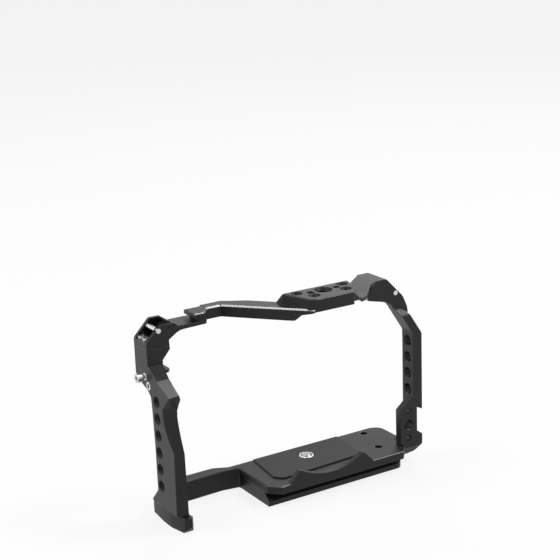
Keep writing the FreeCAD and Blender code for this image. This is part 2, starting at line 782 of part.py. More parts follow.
def rightSideFrame():
    """Upright on the far side with its slanted arm, shelf and cable notch."""
    upright = slab("XZ", pillarFront, pillarBack, [
        (pillarInner - 6.0, bodyBottom - 2.4, 1.0),
        (cageRight - 4.4, bodyBottom - 1.6, 4.0),
        (cageRight, bodyBottom + 2.7, 2.0),
        (cageRight, notchLow),
        (cageRight - notchDepth, notchLow + 2.6),
        (cageRight - notchDepth, notchHigh),
        (cageRight, notchHigh - 1.7),
        (cageRight, shoulderTop - 32.4, 2.0),
        armSeat[1],
        armSeat[0],
        (pillarInner, shoulderTop - 31.4, 3.0),
        (pillarInner, plateTop),
        (pillarInner - 6.0, plateTop),
    ])
    shelf = slab("XZ", pillarFront, shelfBack, [
        (shelfLeft, plateTop),
        (pillarInner + 1.0, plateTop),
        (pillarInner + 1.0, shelfTop + 8.4),
        (pillarInner, shelfTop + 7.3),
        (shelfLeft, shelfTop),
    ])
    sweep = slab("YZ", cageRight - 30, cageRight + 5, [
        (pillarFront - 1, shoulderTop - 21.0),
        (pillarFront, shoulderTop - 21.0, 3.0),
        (shoulderFront, shoulderTop - 17.4, 3.0),
        (shoulderFront, shoulderTop),
        (pillarFront - 1, shoulderTop),
    ])
    low = slab("YZ", cageRight - 30, cageRight + 5, [
        (pillarFront - 1, bodyBottom - 5.0),
        (pillarFront + 3.4, bodyBottom - 5.0),
        (pillarFront, bodyBottom + 2.0),
        (pillarFront - 1, bodyBottom + 2.0),
    ])
    body = upright.fuse(shelf).cut(sweep).cut(low).removeSplitter()
    middle = (pillarFront + pillarBack) / 2
    for i in range(pillarThreads):
        z = pillarThreadStart + i * pillarThreadPitch
        body = body.cut(thread(quarterThreadRadius, threadChamfer, vec(pillarInner, middle, z), vec(cageRight, middle, z)))
    centre = vec(frontThreadX, pillarFront, frontThreadZ)
    body = body.cut(thread(quarterThreadRadius, threadChamfer, centre, centre + back * (shelfBack - pillarFront)))
    for side in (-1, 1):
        pin = centre + up * (side * locatingOffset)
        body = body.cut(thread(locatingRadius, 0.3, pin, pin + back * 4.0))
    for y in pillarScrewSpots:
        head = vec(cageRight, y, bodyBottom + 2.1)
        body = body.cut(rod(capHeadRadius + runningGap, head + right, head - right * 5.0))
        body = body.cut(rod(capRadius + runningGap, head, head - right * 14.0))
    hole = vec(shoulderScrewX, shoulderScrewY, shoulderScrewSeat)
    return body.cut(rod(capRadius, hole - up * shoulderScrewLength, hole + up * 3))


def lugClamp():
    """Sliding plate whose slotted tab grips the camera's strap eyelet."""
    end = bracketInner + 0.2
    body = box(clampStart, clampShoulder + 1, clampFront, clampRootBack, clampBottom, clampTop)
    tab = slab("XY", clampTop - clampTabThickness, clampTop, [
        (clampShoulder + 0.2, clampFront),
        (end - 1.4, clampFront),
        (end, clampFront + 1.4),
        (end, clampBack, 2.0),
        (clampShoulder + 0.2, clampBack),
    ])
    slot = slab("XY", clampBottom, clampTop + 1, [
        (end - 5.0, clampFront + 1.4, 0.6),
        (end - 2.0, clampFront + 1.4, 0.6),
        (end - 2.0, clampFront + 5.4, 0.6),
        (end - 5.0, clampFront + 5.4, 0.6),
    ])
    body = body.fuse(tab).removeSplitter().cut(slot)
    hole = vec(clampStart - 1, clampScrewY, clampScrewZ)
    end = vec(clampScrewEnd + clampTravel + 0.2, clampScrewY, clampScrewZ)
    return body.cut(rod(clampScrewRadius + runningGap, hole, end))


def lugClampScrew():
    """Shouldered screw that draws the clamp in, its head clear of the frame."""
    face = vec(cageLeft - clampNeck, clampScrewY, clampScrewZ)
    head = rod(clampHeadRadius, face - right * clampHeadHeight, face)
    neck = rod(clampScrewRadius, face, vec(clampScrewEnd, clampScrewY, clampScrewZ))
    collar = rod(clampHeadRadius - 0.5, vec(cageLeft - 0.8, clampScrewY, clampScrewZ), vec(cageLeft - 0.05, clampScrewY, clampScrewZ))
    socket = rod(socketRadius, face - right * 10, face - right * (clampHeadHeight * 0.4))
    return head.fuse([neck, collar]).cut(socket)


def lugLockScrew():
    """Set screw with a hexagon socket, flush in the side of the grip frame."""
    centre = vec(cageLeft, bracketFront + 0.6, lockScrewZ)
    body = rod(lockScrewRadius, centre, centre + right * lockScrewLength)
    return body.cut(rod(socketRadius, centre - right, centre + right * (lockScrewLength * 0.6)))


def footScrews():
    screws = []
    for spot in footScrewSpots:
        screws.append(flatScrew(vec(spot[0], spot[1], 0), up, footHeight + 6.5))
    return Part.makeCompound(screws)


def pocketScrews():
    """Cap screws down through the bracket into the grip frame."""
    screws = []
    for spot in pocketScrewSpots:
        head = vec(spot[0], spot[1], pocketFloor - 1.2 + capHeadHeight)
        length = pocketFloor - 1.2 - seamHeight + pocketScrewGrip - 0.3
        screws.append(capScrew(head, -up, length))
    return Part.makeCompound(screws)


def pillarScrews():
    """Cap screws from the side through the upright into the base plate."""
    screws = []
    for y in pillarScrewSpots:
        head = vec(cageRight - 5.0 + capHeadHeight, y, bodyBottom + 2.1)
        screws.append(capScrew(head, -right, 11.5))
    return Part.makeCompound(screws)


def shoulderScrew():
    """Cap screw down through the right bracket into the upright's arm."""
    head = vec(shoulderScrewX, shoulderScrewY, shoulderScrewSeat + capHeadHeight)
    return capScrew(head, -up, shoulderScrewLength - 0.2)


def shoulderSetScrew():
    """Set screw whose tip stands out of the right bracket's inner side."""
    tip = vec(setScrewTip, setScrewY, setScrewZ)
    body = rod(capRadius, tip, tip + right * 8.0)
    return body.cut(rod(capRadius * 0.6, tip + right * 6.5, tip + right * 9.0))


parts = {}
parts["base_plate"] = basePlate()
parts["dovetail_plate"] = dovetailPlate()
parts["dovetail_screws"] = dovetailScrews()
parts["base_pad"] = basePad()
parts["screw_bushing"] = screwBushing()
parts["camera_screw"] = cameraScrew()
parts["camera_screw_washer"] = cameraScrewWasher()
parts["grip_side_frame"] = gripSideFrame()
parts["strap_block"] = strapBlock()
parts["top_frame"] = topFrame()
parts["right_side_frame"] = rightSideFrame()
parts["lug_clamp"] = lugClamp()
parts["lug_clamp_screw"] = lugClampScrew()
parts["lug_lock_screw"] = lugLockScrew()
parts["foot_screws"] = footScrews()
parts["pocket_screws"] = pocketScrews()
parts["pillar_screws"] = pillarScrews()
parts["shoulder_screw"] = shoulderScrew()
parts["shoulder_set_screw"] = shoulderSetScrew()
parts["left_strap_pin"] = strapPin(leftPinX, bracketFront, bracketBack, leftPinZ)
parts["right_strap_pin"] = strapPin(rightPinX, shoulderFront, shoulderBack, rightPinZ)

# The exported origin is the middle of the underside of the whole cage.
low = cageLeft - clampNeck - clampHeadHeight
origin = vec((low + cageRight) / 2, (noseFront + shoeBack) / 2, 0)

os.makedirs("parts", exist_ok=True)
for name, shape in parts.items():
    shape = shape.copy()
    shape.translate(-origin)
    shape.exportStep("parts/" + name + ".step")
    print(name, len(shape.Solids), round(shape.Volume, 1), shape.isValid())
print("origin", origin)
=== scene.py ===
import bmesh
import bpy
import math
from mathutils import Matrix, Vector


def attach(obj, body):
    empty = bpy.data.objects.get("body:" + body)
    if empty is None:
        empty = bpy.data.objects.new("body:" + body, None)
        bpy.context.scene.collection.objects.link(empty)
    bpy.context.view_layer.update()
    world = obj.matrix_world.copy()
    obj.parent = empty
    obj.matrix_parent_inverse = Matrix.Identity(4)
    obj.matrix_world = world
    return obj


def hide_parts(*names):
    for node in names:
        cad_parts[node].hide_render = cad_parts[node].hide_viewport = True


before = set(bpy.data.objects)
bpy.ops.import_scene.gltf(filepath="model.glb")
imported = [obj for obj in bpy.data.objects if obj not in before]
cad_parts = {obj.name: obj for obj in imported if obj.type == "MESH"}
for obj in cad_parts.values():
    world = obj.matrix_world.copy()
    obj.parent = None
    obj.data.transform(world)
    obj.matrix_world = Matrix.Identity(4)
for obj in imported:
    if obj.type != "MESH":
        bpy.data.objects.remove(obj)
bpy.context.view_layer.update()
print("camera cage: frame loaded with", len(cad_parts), "pieces")


# The camera stands where the photograph was taken from, in metres and degrees.
cameraView = {
    "place": (-0.349228, -0.569494, 0.303858),
    "azimuth": 31.3607,
    "elevation": 15.8269,
    "roll": -2.0643,
    "focalPixels": 1368.057,
    "framePixels": 560,
    "sensorWidth": 36.0,
    "nearest": 0.01,
    "farthest": 20,
}


def placeCamera(view):
    azimuth = math.radians(view["azimuth"])
    elevation = math.radians(view["elevation"])
    roll = math.radians(view["roll"])
    right = Vector((math.cos(azimuth), -math.sin(azimuth), 0))
    ahead = Vector((
        math.sin(azimuth) * math.cos(elevation),
        math.cos(azimuth) * math.cos(elevation),
        -math.sin(elevation),
    ))
    up = right.cross(ahead)
    across = right * math.cos(roll) + up * math.sin(roll)
    rise = up * math.cos(roll) - right * math.sin(roll)
    turn = Matrix((across, rise, -ahead)).transposed().to_4x4()
    data = bpy.data.cameras.new("photoCamera")
    data.sensor_width = view["sensorWidth"]
    data.lens = view["focalPixels"] / view["framePixels"] * view["sensorWidth"]
    data.clip_start = view["nearest"]
    data.clip_end = view["farthest"]
    camera = bpy.data.objects.new("photoCamera", data)
    bpy.context.scene.collection.objects.link(camera)
    camera.matrix_world = Matrix.Translation(view["place"]) @ turn
    bpy.context.scene.camera = camera


# Soft white studio: a bright room behind and above, a dim one behind the camera.
studio = {
    "roomLevel": 0.25,
    "ahead": (0.52, 0.85, 0.0),
    "facingSpan": (-0.5, 0.6),
    "levelSpan": (0.35, 2.2),
    "whiteness": 1.0,
    "shadowKept": 0.15,
    "floorReach": 4.0,
    "floorDrop": 0.0002,
    "floorColour": (0.86, 0.86, 0.86, 1),
    "floorRoughness": 0.9,
    "floorShine": 0.1,
    "lamps": {
        "edgeLight": {"place": (0.75, -0.36, 1.2), "aim": (0, 0, 0.06), "size": 0.4, "power": 9},
        "overhead": {"place": (0.78, 0.78, 1.1), "aim": (0, 0, 0.05), "size": 0.85, "power": 5},
        "crown": {"place": (-0.58, 0.2, 1.22), "aim": (0, 0, 0.08), "size": 0.45, "power": 5},
        "leftWindow": {"place": (-1, 0.75, 0.25), "aim": (0, 0, 0.05), "size": 0.7, "power": 6},
    },
}


# One for a ray from the camera or one seen in metal or glass, and zero for other rays.
def seenDirectly(nodes, links):
    path = nodes.new("ShaderNodeLightPath")
    total = path.outputs["Is Camera Ray"]
    for ray in ("Is Glossy Ray", "Is Transmission Ray"):
        higher = nodes.new("ShaderNodeMath")
        higher.operation = "MAXIMUM"
        links.new(total, higher.inputs[0])
        links.new(path.outputs[ray], higher.inputs[1])
        total = higher.outputs[0]
    return total


def buildWorld(values):
    world = bpy.data.worlds.new("studioRoom")
    world.use_nodes = True
    bpy.context.scene.world = world
    nodes = world.node_tree.nodes
    links = world.node_tree.links
    shade = nodes["Background"]
    coords = nodes.new("ShaderNodeTexCoord")
    facing = nodes.new("ShaderNodeVectorMath")
    facing.operation = "DOT_PRODUCT"
    facing.inputs[1].default_value = values["ahead"]
    links.new(coords.outputs["Generated"], facing.inputs[0])
    ramp = nodes.new("ShaderNodeMapRange")
    for end, facingAt, level in zip(("Min", "Max"), values["facingSpan"], values["levelSpan"]):
        ramp.inputs["From " + end].default_value = facingAt
        ramp.inputs["To " + end].default_value = values["roomLevel"] * level
    links.new(facing.outputs["Value"], ramp.inputs["Value"])
    seen = nodes.new("ShaderNodeMix")
    seen.data_type = "FLOAT"
    seen.inputs[3].default_value = values["whiteness"]
    links.new(ramp.outputs["Result"], seen.inputs[2])
    links.new(seenDirectly(nodes, links), seen.inputs[0])
    links.new(seen.outputs[0], shade.inputs["Strength"])
    shade.inputs["Color"].default_value = (1, 1, 1, 1)


def addLamp(name, values):
    data = bpy.data.lights.new(name, "AREA")
    data.shape = "DISK"
    data.size = values["size"]
    data.energy = values["power"]
    lamp = bpy.data.objects.new(name, data)
    bpy.context.scene.collection.objects.link(lamp)
    lamp.location = values["place"]
    aim = Vector(values["aim"]) - Vector(values["place"])
    lamp.rotation_euler = aim.to_track_quat("-Z", "Y").to_euler()


def buildFloor(values):
    mesh = bpy.data.meshes.new("floor")
    reach = values["floorReach"]
    corners = [(-reach, -reach, 0), (reach, -reach, 0), (reach, reach, 0), (-reach, reach, 0)]
    mesh.from_pydata(corners, [], [(0, 1, 2, 3)])
    floor = bpy.data.objects.new("floor", mesh)
    bpy.context.scene.collection.objects.link(floor)
    floor.location.z = -values["floorDrop"]
    material = bpy.data.materials.new("paleFloor")
    material.use_nodes = True
    nodes = material.node_tree.nodes
    links = material.node_tree.links
    base = nodes["Principled BSDF"]
    base.inputs["Base Color"].default_value = values["floorColour"]
    base.inputs["Roughness"].default_value = values["floorRoughness"]
    base.inputs["Specular IOR Level"].default_value = values["floorShine"]
    glow = nodes.new("ShaderNodeEmission")
    glow.inputs["Strength"].default_value = values["whiteness"]
    share = nodes.new("ShaderNodeMath")
    share.operation = "MULTIPLY"
    share.inputs[1].default_value = 1.0 - values["shadowKept"]
    blend = nodes.new("ShaderNodeMixShader")
    links.new(seenDirectly(nodes, links), share.inputs[0])
    links.new(share.outputs[0], blend.inputs["Fac"])
    links.new(base.outputs["BSDF"], blend.inputs[1])
    links.new(glow.outputs["Emission"], blend.inputs[2])
    links.new(blend.outputs["Shader"], nodes["Material Output"].inputs["Surface"])
    floor.data.materials.append(material)


placeCamera(cameraView)
buildWorld(studio)
for lampName, lampValues in studio["lamps"].items():
    addLamp(lampName, lampValues)
buildFloor(studio)
bpy.context.scene.view_settings.view_transform = "Standard"
print("camera cage: studio ready")


def newGroup(name, inputs, outputs):
    group = bpy.data.node_groups.new(name, "ShaderNodeTree")
    for title, kind, value in inputs:
        socket = group.interface.new_socket(name=title, in_out="INPUT", socket_type=kind)
        if value is not None:
            socket.default_value = value
    for title, kind in outputs:
        group.interface.new_socket(name=title, in_out="OUTPUT", socket_type=kind)
    entry = group.nodes.new("NodeGroupInput")
    leave = group.nodes.new("NodeGroupOutput")
    return group, entry, leave


def join(group, a, b):
    group.links.new(a, b)


# Softens every sharp edge in the shading and marks it, so that wear and a painted edge sheen can
# follow it.
def makeEdgeGroup():
    group, entry, leave = newGroup(
        "softEdge",
        [("Radius", "NodeSocketFloat", 0.0003), ("Spread", "NodeSocketFloat", 0.08)],
        [("Normal", "NodeSocketVector"), ("Mask", "NodeSocketFloat")],
    )
    bevel = group.nodes.new("ShaderNodeBevel")
    bevel.samples = 6
    plain = group.nodes.new("ShaderNodeNewGeometry")
    agree = group.nodes.new("ShaderNodeVectorMath")
    agree.operation = "DOT_PRODUCT"
    fall = group.nodes.new("ShaderNodeMath")
    fall.operation = "SUBTRACT"
    fall.inputs[0].default_value = 1.0
    scale = group.nodes.new("ShaderNodeMath")
    scale.operation = "DIVIDE"
    scale.use_clamp = True
    join(group, entry.outputs["Radius"], bevel.inputs["Radius"])
    join(group, bevel.outputs["Normal"], agree.inputs[0])
    join(group, plain.outputs["Normal"], agree.inputs[1])
    join(group, agree.outputs["Value"], fall.inputs[1])
    join(group, fall.outputs[0], scale.inputs[0])
    join(group, entry.outputs["Spread"], scale.inputs[1])
    join(group, bevel.outputs["Normal"], leave.inputs["Normal"])
    join(group, scale.outputs[0], leave.inputs["Mask"])
    return group


# Bead-blasted skin: fine grain for the bump, slow clouds for tone.
def makeGrainGroup():
    group, entry, leave = newGroup(
        "blastGrain",
        [("Grain Size", "NodeSocketFloat", 0.0002), ("Cloud Size", "NodeSocketFloat", 0.02)],
        [("Height", "NodeSocketFloat"), ("Cloud", "NodeSocketFloat")],
    )
    coords = group.nodes.new("ShaderNodeTexCoord")
    for size, detail, result in (("Grain Size", 3.0, "Height"), ("Cloud Size", 4.0, "Cloud")):
        noise = group.nodes.new("ShaderNodeTexNoise")
        noise.inputs["Detail"].default_value = detail
        inverse = group.nodes.new("ShaderNodeMath")
        inverse.operation = "DIVIDE"
        inverse.inputs[0].default_value = 1.0
        join(group, entry.outputs[size], inverse.inputs[1])
        join(group, inverse.outputs[0], noise.inputs["Scale"])
        join(group, coords.outputs["Object"], noise.inputs["Vector"])
        join(group, noise.outputs["Fac"], leave.inputs[result])
    return group


# Lines that a cutter or lathe leaves, square to one direction.
def makeCutterGroup():
    group, entry, leave = newGroup(
        "cutterLines",
        [("Pitch", "NodeSocketFloat", 0.0003), ("Direction", "NodeSocketVector", (1.0, 0.0, 0.0))],
        [("Height", "NodeSocketFloat")],
    )
    coords = group.nodes.new("ShaderNodeTexCoord")
    along = group.nodes.new("ShaderNodeVectorMath")
    along.operation = "DOT_PRODUCT"
    steps = group.nodes.new("ShaderNodeMath")
    steps.operation = "DIVIDE"
    noise = group.nodes.new("ShaderNodeTexNoise")
    noise.noise_dimensions = "1D"
    noise.inputs["Scale"].default_value = 1.0
    noise.inputs["Detail"].default_value = 2.0
    join(group, coords.outputs["Object"], along.inputs[0])
    join(group, entry.outputs["Direction"], along.inputs[1])
    join(group, along.outputs["Value"], steps.inputs[0])
    join(group, entry.outputs["Pitch"], steps.inputs[1])
    join(group, steps.outputs[0], noise.inputs["W"])
    join(group, noise.outputs["Fac"], leave.inputs["Height"])
    return group


edgeGroup = makeEdgeGroup()
grainGroup = makeGrainGroup()
cutterGroup = makeCutterGroup()


def placeGroup(tree, group, **values):
    node = tree.nodes.new("ShaderNodeGroup")
    node.node_tree = group
    for title, value in values.items():
        node.inputs[title.replace("_", " ")].default_value = value
    return node


def mixColours(tree, amount, low, high):
    node = tree.nodes.new("ShaderNodeMix")
    node.data_type = "RGBA"
    tree.links.new(amount, node.inputs[0])
    for socket, value in ((node.inputs[6], low), (node.inputs[7], high)):
        if isinstance(value, tuple):
            socket.default_value = (*value, 1)
        else:
            tree.links.new(value, socket)
    return node.outputs[2]


# The softened edges and the grain that every finish starts from.
def startFinish(name, values):
    material = bpy.data.materials.new(name)
    material.use_nodes = True
    tree = material.node_tree
    base = tree.nodes["Principled BSDF"]
    edge = placeGroup(
        tree, edgeGroup, Radius=values["edgeRadius"], Spread=values["edgeSpread"],
    )
    grain = placeGroup(
        tree, grainGroup, Grain_Size=values["grainSize"], Cloud_Size=values["cloudSize"],
    )
    return material, tree, base, edge.outputs, grain.outputs["Cloud"], grain.outputs["Height"]


# The part of a noise's range that most of its values fill.
noiseSpan = (0.3, 0.7)


def mapTo(tree, value, low, high, span=noiseSpan):
    node = tree.nodes.new("ShaderNodeMapRange")
    node.inputs["From Min"].default_value = span[0]
    node.inputs["From Max"].default_value = span[1]
    node.inputs["To Min"].default_value = low
    node.inputs["To Max"].default_value = high
    tree.links.new(value, node.inputs["Value"])
    return node.outputs["Result"]


# Bumps the shading by a height, on top of the softened edges.
def addBump(tree, base, height, normal, depth):
    bump = tree.nodes.new("ShaderNodeBump")
    bump.inputs["Strength"].default_value = 1.0
    bump.inputs["Distance"].default_value = depth
    tree.links.new(height, bump.inputs["Height"])
    tree.links.new(normal, bump.inputs["Normal"])
    tree.links.new(bump.outputs["Normal"], base.inputs["Normal"])


# Black anodised aluminium: blasted, satin, a little lighter along every edge, partly rubbed wear
# and partly a painted sheen.
anodised = {
    "dark": (0.0042, 0.0042, 0.0050),
    "light": (0.0078, 0.0078, 0.0088),
    # Edge colour: partly wear, partly a painted sheen that stands in for edge glints.
    "wornAndSheen": (0.060, 0.060, 0.064),
    "wear": 0.4,
    "wearSpan": (0.3, 0.6),
    "roughLow": 0.34,
    "roughHigh": 0.46,
    "grainSize": 0.00022,
    "grainDepth": 0.000006,
    "cloudSize": 0.018,
    "edgeRadius": 0.00045,
    "edgeSpread": 0.10,
    "edgeRough": 0.17,
    "ior": 1.38,
}


def anodisedMaterial(name, **changes):
    values = {**anodised, **changes}
    material, tree, base, edge, cloud, height = startFinish(name, values)
    skin = mixColours(tree, cloud, values["dark"], values["light"])
    # Lighter along edges by the mask: wear and a painted edge sheen.
    rub = tree.nodes.new("ShaderNodeMath")
    rub.operation = "MULTIPLY"
    tree.links.new(edge["Mask"], rub.inputs[0])
    tree.links.new(mapTo(tree, cloud, 0.0, values["wear"], values["wearSpan"]), rub.inputs[1])
    colour = mixColours(tree, rub.outputs[0], skin, values["wornAndSheen"])
    tree.links.new(colour, base.inputs["Base Color"])
    rough = mapTo(tree, height, values["roughLow"], values["roughHigh"])
    smooth = tree.nodes.new("ShaderNodeMix")
    smooth.data_type = "FLOAT"
    smooth.inputs[3].default_value = values["edgeRough"]
    tree.links.new(edge["Mask"], smooth.inputs[0])
    tree.links.new(rough, smooth.inputs[2])
    tree.links.new(smooth.outputs[0], base.inputs["Roughness"])
    addBump(tree, base, height, edge["Normal"], values["grainDepth"])
    base.inputs["IOR"].default_value = values["ior"]
    return material


# Bright stainless steel, turned or drawn, with fine lines along one direction.
steel = {
    "bright": (0.72, 0.715, 0.70),
    "dull": (0.50, 0.495, 0.485),
    "roughLow": 0.20,
    "roughHigh": 0.36,
    "grainSize": 0.0004,
    "cloudSize": 0.004,
    "linePitch": 0.00012,
    "lineDepth": 0.000008,
    "edgeRadius": 0.00015,
    "edgeSpread": 0.2,
}


def steelMaterial(name, direction, **changes):
    values = {**steel, **changes}
    material, tree, base, edge, cloud, _ = startFinish(name, values)
    lines = placeGroup(tree, cutterGroup, Pitch=values["linePitch"], Direction=direction)
    tone = mixColours(tree, cloud, values["dull"], values["bright"])
    tree.links.new(tone, base.inputs["Base Color"])
    height = lines.outputs["Height"]
    rough = mapTo(tree, height, values["roughLow"], values["roughHigh"])
    tree.links.new(rough, base.inputs["Roughness"])
    addBump(tree, base, height, edge["Normal"], values["lineDepth"])
    base.inputs["Metallic"].default_value = 1.0
    return material


# Matt rubber sheet and black nylon.
softPad = {
    "rubberDark": (0.012, 0.012, 0.0135),
    "rubberLight": (0.019, 0.019, 0.0205),
    "rubberRough": 0.62,
    "nylonDark": (0.030, 0.030, 0.031),
    "nylonLight": (0.048, 0.048, 0.050),
    "nylonRough": 0.45,
    "smoother": 0.06,
    "rougher": 0.08,
    "grainSize": 0.00045,
    "pebbleDepth": 0.00003,
    "cloudSize": 0.012,
    "edgeRadius": 0.0003,
    "edgeSpread": 0.15,
    "ior": 1.38,
}


# The kind is the first word of the values to read, rubber or nylon.
def mattMaterial(name, kind, values):
    material, tree, base, edge, cloud, height = startFinish(name, values)
    colour = mixColours(tree, cloud, values[kind + "Dark"], values[kind + "Light"])
    tree.links.new(colour, base.inputs["Base Color"])
    middle = values[kind + "Rough"]
    rough = mapTo(tree, height, middle - values["smoother"], middle + values["rougher"])
    tree.links.new(rough, base.inputs["Roughness"])
    addBump(tree, base, height, edge["Normal"], values["pebbleDepth"])
    base.inputs["IOR"].default_value = values["ior"]
    return material


def dress(node, material):
    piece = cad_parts[node]
    piece.data.materials.clear()
    piece.data.materials.append(material)


# What each black finish changes from the plain one; some are lit or shaded copies: painted
# highlights on the finger rest and cut edges, painted shade in the bores.
blackFinishesAndPaintedLight = {
    "frameBlack": {},
    "baseBlack": {"light": (0.0070, 0.0070, 0.0080), "roughLow": 0.46, "roughHigh": 0.56},
    "railBlack": {"dark": (0.0036, 0.0036, 0.0042), "wear": 0.5, "roughLow": 0.32},
    "clampBlack": {"wear": 0.6, "grainSize": 0.00015},
    "threadBlack": {
        "wear": 0.2, "edgeRadius": 0.00008, "roughLow": 0.30, "roughHigh": 0.40,
    },
    # Painted highlight: a lighter grey copy for the finger rest, where light falls on it.
    "restHighlight": {
        "dark": (0.12, 0.12, 0.127), "light": (0.16, 0.16, 0.168), "wornAndSheen": (0.27, 0.27, 0.28),
    },
    # Partly bright-cut metal, partly a painted highlight on the forward and upward chamfers.
    "brightCutHighlight": {
        "dark": (0.05, 0.05, 0.053), "light": (0.08, 0.08, 0.084),
        "roughLow": 0.17, "roughHigh": 0.23, "ior": 1.65, "edgeRadius": 0.00004,
    },
    # The same, duller, for the base: partly bright-cut metal, partly a painted highlight.
    "dullCutHighlight": {
        "dark": (0.05, 0.05, 0.053), "light": (0.08, 0.08, 0.084),
        "roughLow": 0.26, "roughHigh": 0.34, "ior": 1.5, "edgeRadius": 0.00004,
    },
    # Painted shade: a darker copy for the insides of the bores.
    "boreShade": {
        "dark": (0.0016, 0.0016, 0.0020), "light": (0.0030, 0.0030, 0.0034), "wear": 0.0,
        "roughLow": 0.44, "roughHigh": 0.54, "edgeRough": 0.40, "edgeRadius": 0.0001,
        "ior": 1.32,
    },
}
blacks = {name: anodisedMaterial(name, **changes) for name, changes in blackFinishesAndPaintedLight.items()}
upright = steelMaterial("steelTurnedUpright", (0, 0, 1))
sideways = steelMaterial("steelTurnedSideways", (1, 0, 0))
drawn = steelMaterial("steelDrawnPin", (0, 1, 0), roughLow=0.16, roughHigh=0.28)
screwEnd = steelMaterial(
    "steelScrewEnd", (0, 0, 1), bright=(0.36, 0.357, 0.35), dull=(0.22, 0.218, 0.213),
    roughLow=0.28, roughHigh=0.42,
)
rubber = mattMaterial("rubberPad", "rubber", softPad)
nylon = mattMaterial("nylonWasher", "nylon", softPad)
wearing = (
    ("black_anodised", blacks["frameBlack"], (
        "top_frame", "strap_block", "grip_side_frame", "right_side_frame",
    )),
    ("black_anodised", blacks["baseBlack"], ("base_plate",)),
    ("black_anodised", blacks["railBlack"], ("dovetail_plate",)),
    ("black_anodised", blacks["clampBlack"], ("lug_clamp",)),
    ("bright_steel", screwEnd, ("camera_screw",)),
    ("bright_steel", upright, (
        "screw_bushing", "shoulder_screw", "pocket_screws", "dovetail_screws", "foot_screws",
    )),
    ("bright_steel", sideways, (
        "lug_clamp_screw", "lug_lock_screw", "shoulder_set_screw", "pillar_screws",
    )),
    ("bright_steel", drawn, ("left_strap_pin", "right_strap_pin")),
    ("rubber_pad", rubber, ("base_pad",)),
    ("nylon", nylon, ("camera_screw_washer",)),
)
for slotName, finish, nodeNames in wearing:
    for nodeName in nodeNames:
        dress(nodeName, finish)
print("camera cage: finishes ready")

# What the rebuilt aluminium pieces share: millimetres from the middle of the cage, and degrees.
cage = {
    "middle": (2.7, 3.5, 0.0),
    "left": -76.5,
    "right": 76.5,
    "bracketFront": 7.5,
    "bracketBack": 21.5,
    "bracketWall": 2.0,
    "bracketInner": -63.8,
    "seam": 76.7,
    "blockTop": 88.6,
    "gap": 0.05,
    "capRadius": 1.25,
    "capHeadRadius": 2.25,
    "pocketScrews": ((-73.3, 13.2), (-73.3, 17.9)),
    "quarterThread": 2.6,
    "quarterFlare": 0.65,
    "chamfer": 0.4,
    "up": Vector((0, 0, 1)),
    "across": Vector((1, 0, 0)),
    "arcStep": 14,
    "segments": 28,
    "sharpAngle": 28,
    "weldReach": 0.000002,
    "millimetre": 0.001,
}


def onPlane(plane, level, a, b):
    if plane == "XY":
        return Vector((a, b, level))
    if plane == "XZ":
        return Vector((a, level, b))
    return Vector((level, a, b))


# Corners are (a, b) or (a, b, radius); a radius becomes a short arc of points.
def ringOf(plane, level, corners):
    count = len(corners)
    points = [onPlane(plane, level, c[0], c[1]) for c in corners]
    ring = []
    for i, corner in enumerate(corners):
        if len(corner) < 3:
            ring.append(points[i])
            continue
        toBack = (points[i - 1] - points[i]).normalized()
        toNext = (points[(i + 1) % count] - points[i]).normalized()
        half = toBack.angle(toNext) / 2
        middle = points[i] + (toBack + toNext).normalized() * (corner[2] / math.sin(half))
        start = points[i] + toBack * (corner[2] / math.tan(half)) - middle
        end = points[i] + toNext * (corner[2] / math.tan(half)) - middle
        sweep = start.angle(end)
        steps = max(2, round(sweep / math.radians(cage["arcStep"])))
        for k in range(steps + 1):
            part = sweep * k / steps
            spoke = start * math.sin(sweep - part) + end * math.sin(part)
            ring.append(middle + spoke / math.sin(sweep))
    return ring


# Each shell is a row of rings, joined by walls and closed at both ends.
def solidOf(name, *shells):
    mesh = bpy.data.meshes.new(name)
    shell = bmesh.new()
    for rings in shells:
        loops = [[shell.verts.new(point) for point in ring] for ring in rings]
        shell.faces.new(loops[0])
        shell.faces.new(list(reversed(loops[-1])))
        for low, high in zip(loops, loops[1:]):
            for i in range(len(low)):
                j = (i + 1) % len(low)
                shell.faces.new((low[j], low[i], high[i], high[j]))
    bmesh.ops.recalc_face_normals(shell, faces=shell.faces)
    shell.to_mesh(mesh)
    shell.free()
    piece = bpy.data.objects.new(name, mesh)
    bpy.context.scene.collection.objects.link(piece)
    return piece


def insetRing(ring, size, rise):
    count = len(ring)
    area = sum(ring[i - 1].x * ring[i].y - ring[i].x * ring[i - 1].y for i in range(count))
    turn = 1 if area > 0 else -1
    result = []
    for i in range(count):
        before = (ring[i] - ring[i - 1]).normalized()
        after = (ring[(i + 1) % count] - ring[i]).normalized()
        sides = [Vector((-way.y, way.x, 0)) * turn for way in (before, after)]
        bend = sides[0] + sides[1]
        result.append(ring[i] + bend * (size * 2 / bend.length_squared) + Vector((0, 0, rise)))
    return result


def slab(plane, low, high, corners, chamfer=0.0):
    if chamfer == 0.0:
        return solidOf("slab", [ringOf(plane, low, corners), ringOf(plane, high, corners)])
    rim = ringOf(plane, high - chamfer, corners)
    return solidOf("slab", [ringOf(plane, low, corners), rim, insetRing(rim, chamfer, chamfer)])


def block(xLow, xHigh, yLow, yHigh, zLow, zHigh):
    return slab("XY", zLow, zHigh, [(xLow, yLow), (xHigh, yLow), (xHigh, yHigh), (xLow, yHigh)])


# A turned solid: stations are (distance from start, radius) along the way.
def turned(start, way, stations, segments=cage["segments"]):
    side = way.orthogonal().normalized()
    turns = [Matrix.Rotation(2 * math.pi / segments * k, 3, way) for k in range(segments)]
    return solidOf("turned", [
        [start + way * distance + turn @ (side * radius) for turn in turns]
        for distance, radius in stations
    ])


def rod(radius, start, end):
    way = end - start
    return turned(start, way.normalized(), [(0, radius), (way.length, radius)])


